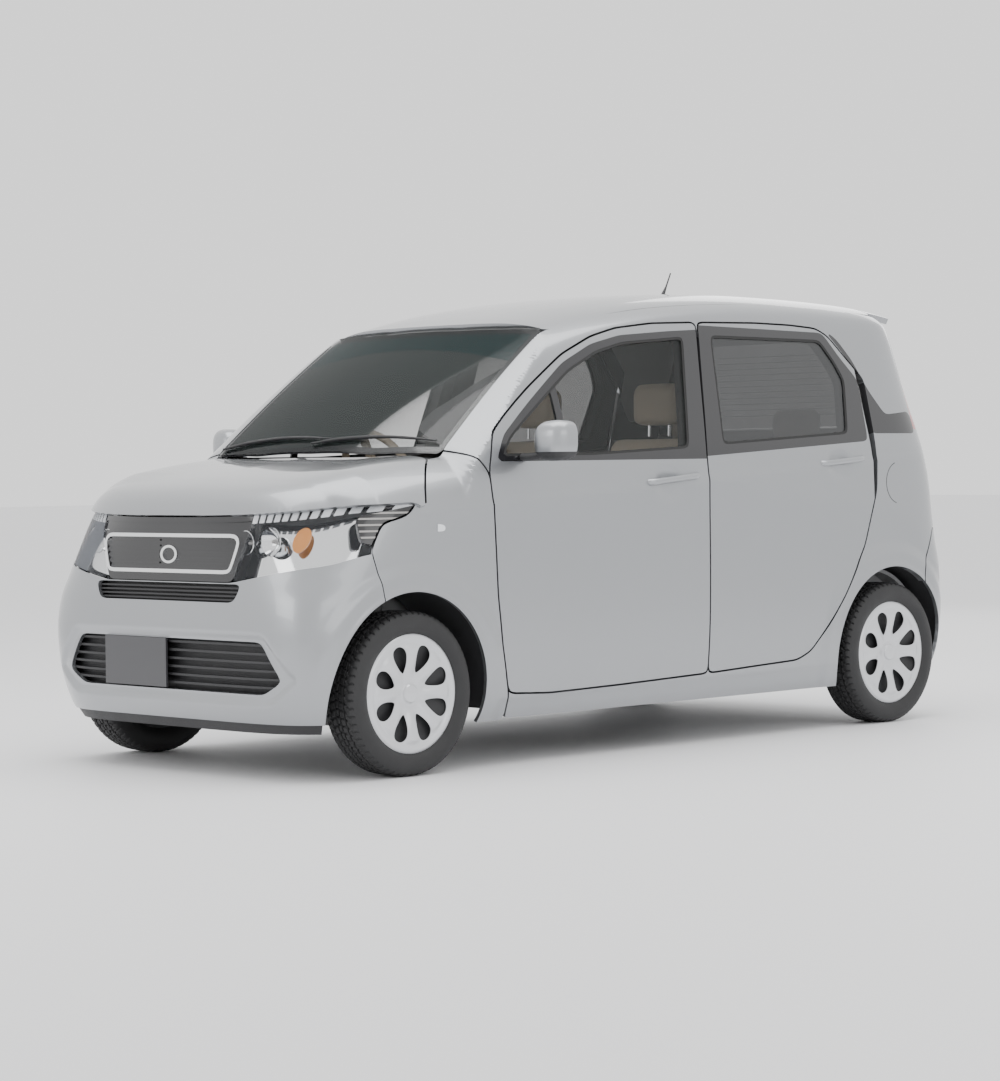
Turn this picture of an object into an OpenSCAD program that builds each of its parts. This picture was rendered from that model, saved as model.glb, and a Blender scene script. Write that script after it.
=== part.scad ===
// A small five-door hatchback: body panels, doors, lids, wheels, seats and running gear.
// +X is forward, +Y is left, +Z is up, and the origin is on the ground at mid-length.

/* [Overall] */
// Distance between the axles
wheelbase = 2520; // [2100:10:3024]
// Front axle to the foremost point
front_overhang = 450; // [375:5:540]
// Rear axle to the rearmost point
rear_overhang = 425; // [355:5:510]
// Width over the doors
body_w = 1475; // [1420:5:1770]
// Height of the roof above the ground
body_h = 1655; // [1500:5:1985]

/* [Wheels] */
// Distance between the wheel centre planes of an axle
track = 1305; // [1270:5:1320]
// Tyre radius as it stands
tyre_r = 270; // [225:1:290]
// Tyre width
tyre_w = 155; // [130:1:165]
// Rim radius at the bead
rim_r = 178; // [150:1:190]
// Clearance between tyre and wheel arch
arch_gap = 62; // [52:1:74]

/* [Panels] */
// Thickness of a door
door_t = 60; // [50:1:72]
// Gap between neighbouring panels
panel_gap = 7; // [6:0.5:9]
// Depth of the door seal behind a door
seal_t = 6; // [5:0.5:8]
// Depth of the pillars behind the doors
pillar_t = 44; // [36:1:54]
// Thickness of the roof with its lining
roof_t = 30; // [25:1:36]
// Thickness of wings, bonnet and bumpers
skin_t = 26; // [21:1:32]
// Thickness of the tailgate
tailgate_t = 45; // [38:1:54]
// Thickness of the glass
glass_t = 5; // [4:0.5:6]

/* [Running gear] */
// Radius of the wheel spindles
spindle_r = 15; // [12:0.5:18]
// Radius of the strut tubes
strut_r = 24; // [20:1:26]
// Steering wheel radius
hand_wheel_r = 185; // [155:1:220]

/* [Hidden] */
$fn = 48;
seat = 0.3;      // clearance of pieces that sit on each other
running = 0.05;  // radial clearance of a shaft in its bore

// The body is drawn at these design sizes, and at() carries it to the sizes above.
draw_front = 450;
draw_base = 2520;
draw_rear = 425;
draw_w = 1475;
draw_h = 1655;
draw_half = (draw_front + draw_base + draw_rear) / 2;
half_len = (front_overhang + wheelbase + rear_overhang) / 2;
front_axle = half_len - front_overhang;
rear_axle = front_axle - wheelbase;
arch_r = tyre_r + arch_gap;
function X(x) = x > draw_half - draw_front
    ? front_axle + (x - draw_half + draw_front) * front_overhang / draw_front
    : x < draw_rear - draw_half ? rear_axle + (x + draw_half - draw_rear) * rear_overhang / draw_rear
    : rear_axle + (x + draw_half - draw_rear) * wheelbase / draw_base;
function Y(y) = y * body_w / draw_w;
function Z(z) = z * body_h / draw_h;
function at(p) = [X(p[0]), Y(p[1]), Z(p[2])];

// Half width of the body by height
half_width = [[150, 688], [190, 703], [250, 716], [400, 731], [600, 737], [850, 737], [950, 734],
    [1050, 725], [1100, 715], [1200, 691], [1400, 641], [1500, 616], [1550, 599], [1590, 570],
    [1620, 525], [1640, 440], [1652, 240], [1655, 60]];
// Centre line of the bonnet and of the roof, and the ends by height
roof_line = [[-1530, 1612], [-1400, 1634], [-1250, 1644], [-1000, 1652], [-700, 1655], [-480, 1651],
    [-250, 1639], [-50, 1621], [100, 1601], [250, 1575], [400, 1540]];
screen_line = [[515, 1504], [700, 1366], [850, 1241], [960, 1143], [1060, 1040]];
bonnet_line = [[1060, 1044], [1200, 1028], [1300, 1013], [1400, 995], [1500, 972], [1580, 945],
    [1625, 915], [1655, 880], [1671, 849]];
nose_line = [[1671, 849], [1677, 725], [1684, 640], [1692, 573], [1697.5, 451], [1697.5, 350],
    [1690, 276], [1675, 200], [1655, 150]];
tail_line = [[-1640, 150], [-1665, 200], [-1690, 300], [-1697.5, 450], [-1692, 600], [-1668, 700],
    [-1655, 800], [-1645, 930], [-1622, 1120], [-1588, 1245], [-1552, 1440], [-1530, 1612]];
nose_root = 1000;   // where the nose starts to round
tail_root = -1100;  // where the tail starts to round
nose_square = 7.5;  // squareness of the nose corners below the lamps
lamp_square = 3.6;  // squareness of the nose corners at the lamps
tail_square = 7.5;  // squareness of the tail corners

// Each outline drawn in by d, for the inner face of a wall d thick
function section_pts(d) = concat([[half_width[0][1] - d, 100]],
    [for (p = half_width) [max(p[1] - d, 20), p[0] - d * min(max((p[0] - 1450) / 150, 0), 1)]]);
module section(d = 0, x0 = -1720, x1 = 1720, low = 0) {
  right = section_pts(d);
  ahead([for (p = concat(right, [for (i = [len(right) - 1 : -1 : 0]) [-right[i][0], right[i][1]]])) p],
      x0, x1);
}
turns = [0, 0.2, 3, 12, 24, 38, 52, 66, 78, 87, 90];
function corner(root, reach, n, d) = [for (t = turns)
    [root + (reach - root - sign(reach) * d) * cos(t) ^ (2 / n), (draw_w / 2 - d) * sin(t) ^ (2 / n)]];
function mirrored(p) = concat(p, [for (i = [len(p) - 1 : -1 : 0]) [p[i][0], -p[i][1]]]);
function backwards(p) = [for (i = [len(p) - 1 : -1 : 0]) p[i]];
module plan(d = 0, square = nose_square) above(mirrored(concat(
    corner(nose_root, draw_half, square, d), backwards(corner(tail_root, -draw_half, tail_square, d)))), 90, 1700);
// The side silhouette with its cabin, drawn in by t at the top and e at the ends
module silhouette(t = 0, e = 0) beside(concat(
    [for (p = tail_line) [p[0] + e, min(p[1], 1700)]],
    [for (p = roof_line) [max(p[0], -1530 + e), p[1] - t]],
    [for (p = screen_line) [p[0] - t, p[1] - t * 0.3]],
    [for (p = bonnet_line) [p[0] - e / 2, p[1] - t]],
    [for (p = nose_line) [p[0] - e, min(p[1], 849 - t)]],
    [[1655 - e, 90], [-1640 + e, 90]]), -900, 900);
module shape(d = 0, t = 0, square = nose_square) intersection() {
  section(d);
  plan(d, square);
  silhouette(t, d);
}
// A strip of side wall between two depths, straight in plan
module side_strip(d0, d1) difference() {
  section(d0);
  section(d1);
}

// Prisms of a side view, a front view and a plan, drawn at the design sizes
module beside(pts, y0 = 300, y1 = 900, grow = 0)
  translate([0, Y(y1), 0]) rotate([90, 0, 0]) linear_extrude(Y(y1) - Y(y0))
    offset(delta = grow) polygon([for (p = pts) [X(p[0]), Z(p[1])]]);
module ahead(pts, x0, x1, grow = 0)
  translate([X(x0), 0, 0]) rotate([90, 0, 90]) linear_extrude(X(x1) - X(x0))
    offset(delta = grow) polygon([for (p = pts) [Y(p[0]), Z(p[1])]]);
module above(pts, z0, z1, grow = 0)
  translate([0, 0, Z(z0)]) linear_extrude(Z(z1) - Z(z0))
    offset(delta = grow) polygon([for (p = pts) [X(p[0]), Y(p[1])]]);
module both() {
  children();
  mirror([0, 1, 0]) children();
}
module box(a, b) translate(at(a)) cube(at(b) - at(a));
module bar_y(x, z, r, y0, y1) translate([x, y0, z]) rotate([-90, 0, 0]) cylinder(r = r, h = y1 - y0);

// Outlines in the side view
front_door_line = [[802, 243], [606, 233], [264, 239], [-205, 252], [-205, 1056], [-241, 1280],
    [-281, 1520], [-46, 1511], [141, 1490], [274, 1457], [430, 1393], [632, 1271], [773, 1177],
    [845, 1119], [891, 987], [875, 809], [863, 579], [839, 405]];
rear_door_line = [[-205, 252], [-471, 263], [-707, 272], [-784, 300], [-858, 367], [-976, 505],
    [-1100, 684], [-1178, 893], [-1191, 1104], [-1197, 1323], [-1109, 1408], [-1030, 1486], [-967, 1514],
    [-817, 1523], [-618, 1526], [-289, 1520], [-245, 1280], [-205, 1056]];
front_glass_line = [[822, 1040], [770, 1105], [620, 1208], [425, 1330], [270, 1398], [130, 1432],
    [-195, 1458], [-94, 1062]];
rear_glass_line = [[-363, 1481], [-976, 1478], [-1042, 1394], [-1080, 1322], [-1034, 1120], [-299, 1080]];
front_way = [[740, 300], [-150, 300], [-150, 1056], [-190, 1280], [-225, 1460], [130, 1435], [400, 1345],
    [600, 1220], [730, 1130], [800, 970], [790, 500]];
rear_way = [[-260, 300], [-690, 310], [-880, 540], [-1010, 720], [-1080, 900], [-1090, 1290], [-1010, 1400],
    [-920, 1462], [-330, 1465], [-300, 1280], [-260, 1056]];
frame_line = [[-1300, 620], [-1300, 1540], [-1200, 1610], [300, 1580], [950, 1062], [900, 985], [900, 206],
    [-900, 206], [-1000, 620]];
side_line = [[-1400, 150], [-1720, 150], [-1720, 1700], [300, 1700], [1010, 1080], [940, 1040], [891, 987],
    [875, 809], [863, 579], [839, 405], [802, 243], [802, 150]];
wing_line = [[891, 987], [940, 1040], [1010, 1085], [1070, 1060], [1221, 890], [1260, 851], [1359, 826],
    [1413, 739], [1378, 594], [1378, 150], [802, 150], [802, 243], [839, 405], [863, 579], [875, 809]];
strip_line = [[1221, 890], [1450, 884], [1600, 866], [1720, 842]];  // lower edge of the bonnet
lamp_foot = [[1221, 890], [1260, 851], [1359, 826], [1413, 739]];   // lamp against wing

// Outlines in the plan and the front view
roof_edge = 548;    // roof seam from the centre line
screen_edge = [[-1400, 548], [431, 541], [1010, 594]];
tail_gap_x = -1385;
lamp_line = [[330, 640], [420, 655], [676, 699], [745, 775], [760, 960], [388, 960], [388, 802], [372, 759]];
mouth_line = [[477, 451], [564, 326], [477, 280], [-477, 280], [-564, 326], [-477, 451]];
duct_line = [[385, 635], [355, 575], [-355, 575], [-385, 635]];
face_line = [[330, 640], [372, 759], [388, 802], [388, 900], [-388, 900], [-388, 802], [-372, 759], [-330, 640]];
gate_line = [[590, 560], [600, 700], [600, 1120], [560, 1300], [530, 1460], [520, 1700], [-520, 1700],
    [-530, 1460], [-560, 1300], [-600, 1120], [-600, 700], [-590, 560]];
gate_glass_line = [[520, 1150], [490, 1300], [450, 1510], [-450, 1510], [-490, 1300], [-520, 1150]];
tail_lamp_line = [[612, 1205], [575, 1300], [545, 1470], [700, 1470], [800, 1205]];
rear_bumper_line = [[-1430, 150], [-1480, 610], [-1560, 750], [-1730, 750], [-1730, 150]];

module arches() {
  bar_y(front_axle, tyre_r, arch_r, -body_w, body_w);
  bar_y(rear_axle, tyre_r, arch_r, -body_w, body_w);
}
door_depth = door_t + seal_t;
wall_depth = door_depth + pillar_t;

module body_side() color("silver") difference() {
  intersection() {
    shape();
    beside(side_line, 0, 900);
  }
  shape(door_depth, roof_t);
  beside(front_door_line, 0, 900, panel_gap / 2);
  beside(rear_door_line, 0, 900, panel_gap / 2);
  above(concat(screen_edge, [[1010, -900], [-1400, -900]]), 800, 1700);
  ahead(gate_line, -1720, tail_gap_x, panel_gap / 2);
  arches();
  ahead(tail_lamp_line, -1720, -1420);
  beside(rear_bumper_line, -900, 900, seat - panel_gap / 2);
  box([-1720, -900, 80], [-1272, 900, 236]);
  box([-1720, -900, 80], [1000, 900, 160]);
}
module pillars() color("silver") difference() {
  intersection() {
    side_strip(door_depth - 1, wall_depth);
    beside(frame_line, 0, 900);
    silhouette(roof_t + 4, 0);
  }
  beside(front_way, 0, 900);
  beside(rear_way, 0, 900);
  bar_y(rear_axle, tyre_r, arch_r, -body_w, body_w);
  above(concat(screen_edge, [[1010, -900], [-1400, -900]]), 800, 1700);
}
// Pads on the pillars that the closed doors rest on
module door_rests() color("silver") intersection() {
  side_strip(door_t + seat, door_depth);
  union() {
    box([805, 300, 700], [835, 900, 760]);
    box([-195, 300, 700], [-165, 900, 760]);
    box([-250, 300, 700], [-220, 900, 760]);
    box([-1125, 300, 760], [-1095, 900, 820]);
  }
}
module side_frame() union() {
  body_side();
  pillars();
  door_rests();
}

module door(line, glass) color("silver") difference() {
  intersection() {
    side_strip(0, door_t);
    beside(line, 300, 900, -panel_gap / 2);
  }
  beside(glass, 300, 900);
}
module pane(glass) color("lightblue") intersection() {
  side_strip(20, 20 + glass_t);
  beside(glass, 300, 900);
}

module roof_panel() color("silver") {
  roof_skin();
  // Hinge arms under the top edge of the tailgate
  both() {
    box([tail_gap_x + 5, 300, 1560], [tail_gap_x + 19, 340, 1615]);
    box([tail_gap_x - 35, 300, 1560], [tail_gap_x + 19, 340, 1583]);
  }
}
module roof_skin() difference() {
  intersection() {
    shape();
    above([[tail_gap_x + panel_gap / 2, -roof_edge], [tail_gap_x + panel_gap / 2, roof_edge], [431, 541], [470, 350], [495, 180],
        [500, 0], [495, -180], [470, -350], [431, -541]], 1400, 1700, -seat);
  }
  intersection() {
    section(roof_t);
    silhouette(roof_t, 0);
  }
}
module windscreen() color("lightblue") intersection() {
  difference() {
    silhouette(3, 0);
    silhouette(3 + glass_t * 1.3, 0);
  }
  above([[440, 541], [985, 592], [1035, 300], [1045, 0], [1035, -300], [985, -592], [440, -541], [479, -350],
      [504, -180], [509, 0], [504, 180], [479, 350]], 1000, 1520, -seat);
}

bonnet_gap_line = [[1050, 594], [1221, 760], [1760, 760], [1760, -760], [1221, -760], [1050, -594],
    [1062, -300], [1068, 0], [1062, 300]];
module top_skin() difference() {
  shape(0, 0, lamp_square);
  shape(skin_t, skin_t, lamp_square);
}
module bonnet() color("silver") intersection() {
  top_skin();
  above(bonnet_gap_line, 800, 1100, -panel_gap / 2);
  beside(concat([[1040, 1100], [1040, 960]], strip_line, [[1720, 1100]]), -900, 900, -panel_gap / 2);
}
module front_wings() color("silver") both() difference() {
  intersection() {
    top_skin();
    beside(wing_line, 300, 900, -panel_gap / 2);
    above([[780, 640], [900, 612], [1050, 598], [1221, 600], [1500, 600], [1500, 900], [780, 900]], 100, 1100);
  }
  above(bonnet_gap_line, 880, 1100, panel_gap / 2);
  beside(side_line, 0, 900, seat);
  bar_y(front_axle, tyre_r, arch_r, -body_w, body_w);
}

module nose_shell(d0, d1) difference() {
  shape(d0, 0);
  shape(d1, 0);
}
module front_bumper() color("silver") difference() {
  intersection() {
    nose_shell(0, skin_t);
    beside([[1413, 739], [1378, 594], [1378, 150], [1720, 150], [1720, 900], [1413, 900]], -900, 900,
        panel_gap / 2 - seat);
    ahead([[-760, 140], [760, 140], [760, 739], [676, 699], [420, 655], [330, 640],
        [-330, 640], [-420, 655], [-676, 699], [-760, 739]], 1300, 1720, -seat / 2);
  }
  ahead(mouth_line, 1500, 1720);
  ahead(duct_line, 1500, 1720);
  bar_y(front_axle, tyre_r, arch_r, -body_w, body_w);
}
module grille() color([0.08, 0.08, 0.09]) {
  intersection() {
    difference() {
      shape(6, 0, lamp_square);
      shape(skin_t + 6, 0, lamp_square);
    }
    ahead(face_line, 1500, 1720, -seat / 2);
    beside([[1300, 600], [1720, 600], [1720, 842 - panel_gap], [1600, 866 - panel_gap], [1300, 880]], -500, 500);
  }
  intersection() {
    nose_shell(10, skin_t);
    ahead(duct_line, 1500, 1720, -seat);
    for (z = [582 : 18 : 632]) box([1500, -400, z], [1720, 400, z + 7]);
  }
  intersection() {
    nose_shell(10, skin_t);
    ahead(mouth_line, 1500, 1720, -seat);
    for (z = [294 : 42 : 452]) box([1500, -600, z], [1720, 600, z + 9]);
  }
}
module headlamps() color("white") both() intersection() {
  difference() {
    shape(2, 2, lamp_square);
    shape(skin_t + 30, 40, lamp_square);
  }
  ahead(lamp_line, 1100, 1720, -seat / 2);
  beside(concat([[1720, 640], [1430, 640]], backwards(lamp_foot), strip_line), 200, 900, -panel_gap / 2 - 3);
}
module rear_bumper() color("silver") difference() {
  intersection() {
    nose_shell(0, skin_t);
    beside(rear_bumper_line, -900, 900, -panel_gap / 2);
  }
  ahead(gate_line, -1720, -1400, panel_gap);
  box([-1720, -900, 80], [-1272, 900, 236]);
  bar_y(rear_axle, tyre_r, arch_r, -body_w, body_w);
}
module tailgate() color("silver") difference() {
  intersection() {
    difference() {
      shape();
      shape(tailgate_t, tailgate_t);
    }
    ahead(gate_line, -1720, -1300, -panel_gap / 2);
    box([-1720, -700, 500], [tail_gap_x - panel_gap / 2, 700, 1700]);
  }
  ahead(gate_glass_line, -1720, -1400);
}
module tailgate_glass() color("dimgray") intersection() {
  nose_shell(4, 4 + glass_t);
  ahead(gate_glass_line, -1720, -1400);
}
module tail_lamps() color("firebrick") both() intersection() {
  difference() {
    shape();
    shape(60, 60);
  }
  ahead(tail_lamp_line, -1720, -1424, -seat);
  box([-1720, 520, 1150], [-1424, 800, 1600]);
}

// Front structure: bulkhead, scuttle, inner wings with strut towers, rails and cross member
kingpin_top = [front_axle, 545, 770];
kingpin_foot = [front_axle, 622, 178];
kingpin_lean = atan((kingpin_foot[1] - kingpin_top[1]) / (kingpin_top[2] - kingpin_foot[2]));
kingpin_len = norm(kingpin_top - kingpin_foot);
tower_z = kingpin_top[2];
wing_in = Y(704.3);
module front_body() color("gray") {
  box([915, -600, 215], [945, 600, 1010]);
  box([925, -560, 1000], [1030, 560, 1024]);
  both() {
    difference() {
      union() {
        translate([X(945) - 1, Y(395), 300]) cube([X(1600) - X(945), 25, 500]);
        translate([front_axle - 90, Y(395), tower_z]) cube([180, Y(655) - Y(395), 22]);
        translate([front_axle - 90, Y(395), tower_z]) cube([20, Y(655) - Y(395), 75]);
        translate([front_axle + 70, Y(395), tower_z]) cube([20, Y(655) - Y(395), 75]);
        translate([front_axle - 30, Y(640), tower_z]) cube([30, wing_in - Y(640), 12]);
      }
      on_kingpin() translate([0, 0, kingpin_len - 20]) cylinder(r = 15, h = 60);
    }
    translate([X(940), Y(330), 300]) cube([X(1640) - X(940), 60, 90]);
    translate([X(1555), Y(330), 380]) cube([20, 24, Z(830) - 380]);
    translate([X(1565), Y(250), Z(829)]) cylinder(r = 12, h = Z(912) - Z(829));
  }
  translate([X(1555), -Y(340), Z(810)]) cube([20, 2 * Y(340), 20]);
  translate([X(1555), -40, 505]) cube([20, 80, Z(811) - 505]);
  translate([X(1574), -40, Z(690)]) cube([X(1645) - X(1574) - seat, 80, 30]);
  translate([X(1612) + 27, -Y(300), Z(505)]) cube([X(1667) - X(1612) - 27 - seat, 2 * Y(300), Z(550) - Z(505)]);
  translate([X(1612), -Y(560), Z(420)]) cube([28, 2 * Y(560), 90]);
  translate([X(1612), -Y(400), 300]) cube([28, 2 * Y(400), Z(420) - 300 + 1]);
}

floor_z = 205;
rear_floor_z = floor_z + 216;
sill_in = Y(706) - wall_depth - seat;
module floor_pan() color("gray") {
  translate([X(-985), -sill_in, floor_z]) cube([X(915) - X(-985) - seat, 2 * sill_in, 14]);
  translate([X(-985), -90, floor_z]) cube([X(915) - X(-985) - seat, 180, 90]);
  translate([X(-985), -Y(540), floor_z]) cube([16, 2 * Y(540), 230]);
  translate([X(-1600), -Y(540), rear_floor_z]) cube([X(-985) - X(-1600) + 16, 2 * Y(540), 14]);
  translate([X(-1600), -Y(540), floor_z + 130]) cube([16, 2 * Y(540), 310]);
  translate([X(-1646) + seat, -30, Z(590)]) cube([X(-1599) - X(-1646), 60, 14]);
  both() difference() {
    bar_y(rear_axle, tyre_r, arch_r - 8, Y(538), Y(624));
    bar_y(rear_axle, tyre_r, arch_r - 22, Y(540) + 14, Y(700));
    bar_y(rear_axle, tyre_r, 120, Y(500), Y(700));
    translate([rear_axle - 400, 0, -200]) cube([800, 900, 200 + floor_z]);
    translate([rear_axle - 120, 0, -200]) cube([240, 900, 200 + tyre_r]);
  }
}

cover_r = rim_r + 18;
// A wheel turns about Y, its outer face towards +Y
module wheel() color("silver") {
  rotate([-90, 0, 0]) difference() {
    union() {
      rotate_extrude() polygon([[spindle_r + running, -66], [38, -66], [38, -6], [rim_r - 24, 4],
          [rim_r - 24, -56], [rim_r + 8, -60], [rim_r + 8, -56], [rim_r - 2, -50], [rim_r - 2, 50], [rim_r + 8, 56],
          [rim_r + 8, 60], [rim_r - 24, 57], [rim_r - 24, 12], [38, 4], [38, 28], [spindle_r + running, 28]]);
      rotate_extrude() polygon([[0, 46], [30, 46], [60, 52], [rim_r - 30, 56], [rim_r - 22, 50],
          [rim_r - 12, 50], [rim_r - 6, 62], [cover_r, 64], [cover_r, 69], [rim_r - 10, 75], [rim_r - 28, 70],
          [60, 62], [30, 58], [0, 58]]);
    }
    for (i = [0 : 7]) rotate(i * 45 + 22.5) translate([0, 0, 40]) linear_extrude(60)
      polygon([[84, -6], [96, -14], [118, -19], [138, -16], [146, 0], [138, 16], [118, 19], [96, 14], [84, 6]]);
  }
}
half_tyre = tyre_w / 2;
module tyre() color([0.08, 0.08, 0.08]) rotate([-90, 0, 0]) rotate_extrude()
  polygon(concat(
      [for (s = [-1, 1]) [rim_r - 1.5, s * 50]],
      [[rim_r + 9, 55.5], [rim_r + 19, half_tyre - 16], [rim_r + 32, half_tyre - 4],
      [rim_r + 45, half_tyre], [tyre_r - 30, half_tyre - 2], [tyre_r - 11, half_tyre - 9],
      [tyre_r - 3, half_tyre - 20], [tyre_r, half_tyre - 32], [tyre_r, 32 - half_tyre],
      [tyre_r - 3, 20 - half_tyre], [tyre_r - 11, 9 - half_tyre], [tyre_r - 30, 2 - half_tyre],
      [rim_r + 45, -half_tyre], [rim_r + 32, 4 - half_tyre], [rim_r + 19, 16 - half_tyre], [rim_r + 9, -55.5]]));
module at_wheel(x, side) translate([x, side * track / 2, tyre_r]) rotate([0, 0, side > 0 ? 0 : 180]) children();

strut_lean = 6.7;
module on_kingpin() translate(kingpin_foot) rotate([kingpin_lean, 0, 0]) children();
hub_in = track / 2 - 118;
module knuckle() color("dimgray") {
  bar_y(front_axle, tyre_r, 38, hub_in, track / 2 - 72);
  bar_y(front_axle, tyre_r, spindle_r, track / 2 - 80, track / 2 + 24);
  translate([front_axle - 25, hub_in + 5, 188]) cube([50, 40, 90]);
  translate([front_axle - 25, hub_in + 5, 188]) cube([50, kingpin_foot[1] + 10 - hub_in - 5, 36]);
  on_kingpin() cylinder(r = 20, h = 30);
  on_kingpin() translate([0, 0, -22]) cylinder(r = 9, h = 30);
  translate([front_axle - 24, hub_in - 30, tyre_r - 10]) cube([44, 50, 140]);
  translate([front_axle, hub_in - 8, tyre_r + 110]) rotate([-strut_lean, 0, 0]) cylinder(r = strut_r, h = 282);
  on_kingpin() translate([0, 0, kingpin_len - 130]) cylinder(r = 11, h = 165);
  on_kingpin() translate([0, 0, kingpin_len - 23]) cylinder(r = 20, h = 20);
}
module front_suspension() color("dimgray") {
  translate([front_axle - 120, -330, 190]) cube([240, 660, 50]);
  both() {
    translate([front_axle - 60, 329, 190]) cube([120, 60, 110 - seat]);
    difference() {
      union() {
        translate([front_axle - 45, 320, 150]) cube([90, 240, 20]);
        translate([front_axle - 20, 550, 150]) cube([40, 74, 20]);
        on_kingpin() translate([0, 0, -24]) cylinder(r = 20, h = 20);
        translate([front_axle - 45, 320, 160]) cube([90, 30, 40]);
      }
      on_kingpin() translate([0, 0, -40]) cylinder(r = 9.3, h = 80);
    }
  }
}
module rear_axle_beam() color("dimgray") {
  translate([rear_axle + 60, -480, tyre_r - 55]) cube([80, 960, 60]);
  both() {
    translate([rear_axle - 45, 465, tyre_r - 40]) cube([300, 50, 70]);
    translate([rear_axle + 205, 465, tyre_r + 20]) cube([45, 50, rear_floor_z - tyre_r - 20 - seat]);
    translate([rear_axle, 490, tyre_r + 20]) cylinder(r = 40, h = rear_floor_z - tyre_r - 20 - seat);
    bar_y(rear_axle, tyre_r, 42, 510, track / 2 - 72);
    bar_y(rear_axle, tyre_r, 95, track / 2 - 95, track / 2 - 72);
    bar_y(rear_axle, tyre_r, spindle_r, track / 2 - 80, track / 2 + 24);
  }
}

module engine() color("darkgray") {
  translate([X(1010), -330, 330]) cube([X(1520) - X(1010), 640, Z(800) - 330]);
  translate([X(1200), -Y(395) + seat, 400]) cube([60, 2 * Y(395) - 2 * seat, 60]);
}
module radiator() color("black") {
  translate([X(1580), -Y(325), 300.3]) cube([X(1612) - X(1580) - seat, 2 * Y(325), Z(620) - 300]);
}
module exhaust() color("darkgray") {
  translate([X(-1560), -60, 232]) rotate([90, 0, 0]) cylinder(r = 62, h = 380);
  translate([X(-1560), -380, 200]) rotate([0, -90, 0]) cylinder(r = 20, h = 110);
  translate([X(-1560), -250, 230]) rotate([0, 90, 0]) cylinder(r = 20, h = X(-1330) - X(-1560));
  translate([X(-1340), -270, 175]) cube([X(800) - X(-1340), 40, 28]);
  translate([X(-1345), -270, 175]) cube([30, 40, 75]);
  translate([X(-1570), -260, 280]) cube([20, 20, floor_z + 216 - 280 - seat]);
}
module fuel_tank() color("black")
  translate([X(-250), -180, 160]) cube([X(350) - X(-250), Y(560) + 180, floor_z - 160 - seat]);

module dashboard() color("dimgray") difference() {
  beside([[914.7, 690], [760, 700], [690, 790], [600, 850], [560, 940], [580, 985], [660, 1020], [914.7, 1030]],
      -585, 585);
  steer_frame() translate([0, 0, 20]) cylinder(r = 42 + seat, h = 320);
}
hand_centre = [X(420), Y(-330), Z(985)];
module steer_frame() translate(hand_centre) rotate([0, 90 + 28, 0]) children();
module steering_wheel() color("wheat") steer_frame() {
  rotate_extrude() translate([hand_wheel_r - 15, 0]) circle(r = 14);
  translate([0, 0, 0]) cylinder(r = 62, h = 34);
  for (a = [0, 120, 240]) rotate(a + 180) translate([50, -18, 6]) cube([hand_wheel_r - 68, 36, 14]);
}
module steering_column() color("black") steer_frame() {
  translate([0, 0, 34 + seat]) cylinder(r = 42, h = 290);
}

module front_seats() color("wheat") both() {
  beside([[330, 470], [330, 570], [250, 600], [-60, 580], [-200, 570], [-230, 480], [-180, 440]], 70, 575);
  beside([[-110, 585], [-230, 800], [-345, 1130], [-420, 1130], [-330, 800], [-260, 560], [-150, 560]], 90, 560);
  beside([[-345, 1125], [-350, 1300], [-400, 1325], [-455, 1290], [-440, 1140], [-410, 1115]], 200, 450);
  beside([[250, 425], [250, 500], [-180, 500], [-180, 425]], 120, 520);
  translate([X(-150), Y(140), floor_z + 14.3]) cube([X(200) - X(-150), 60, Z(430) - floor_z - 14]);
  translate([X(-150), Y(440), floor_z + 14.3]) cube([X(200) - X(-150), 60, Z(430) - floor_z - 14]);
}
module rear_seat() color("wheat") {
  beside([[-680, 450], [-660, 560], [-760, 590], [-1120, 570], [-1130, 460]], -535, 535);
  beside([[-1060, 570], [-1150, 800], [-1220, 1080], [-1290, 1080], [-1230, 800], [-1160, 480], [-1100, 480]],
      -525, 525);
  for (s = [-1, 1]) beside([[-1212, 1070], [-1220, 1210], [-1265, 1235], [-1310, 1205], [-1288, 1070]],
      s * 270 - 125, s * 270 + 125);
  for (s = [-1, 1]) translate([X(-960), s * Y(300) - Y(180), floor_z + 14 + seat])
    cube([X(-760) - X(-960), 2 * Y(180), Z(470) - floor_z - 14 - seat]);
}
module interior_mirror() color("black") {
  box([430, -110, 1340], [450, 110, 1405]);
  translate([X(449), -8, Z(1370)]) cube([36, 16, 16]);
  translate([X(470), -8, Z(1370)]) cube([14, 16, Z(1483.8) - Z(1370)]);
}
module wipers() color("black") {
  for (y = [-420, 90]) translate([X(1032), Y(y), Z(1024) + seat]) {
    cylinder(r = 12, h = 16);
    translate([-5, 0, 10]) cube([10, 430, 6]);
  }
}
module aerial() color("black") translate([X(-760), 0, Z(1654.6)]) {
  cylinder(r = 16, h = 14);
  translate([0, 0, 8]) rotate([0, -28, 0]) cylinder(r = 3.5, h = 100);
}
module front_plate() color([0.15, 0.15, 0.15]) difference() {
  translate([X(1688), -Y(333), Z(285)]) cube([8, 330, 165]);
  for (s = [-1, 1]) translate([X(1680), -Y(333) + 165 + s * 105, Z(285) + 152]) rotate([0, 90, 0])
    cylinder(r = 3.5, h = 30);
}
module rear_wiper() color("black") {
  translate([X(-1620) - 28 - seat, -10, Z(1128)]) cube([28, 20, 20]);
  translate([X(-1620) - 28 - seat, -10, Z(1133)]) cube([10, 330, 10]);
}
module mirror_piece() color("silver") {
  box([640, 790, 1015], [760, 925, 1160]);
  box([700, 727.1, 1030], [740, 791, 1056]);
}

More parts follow.
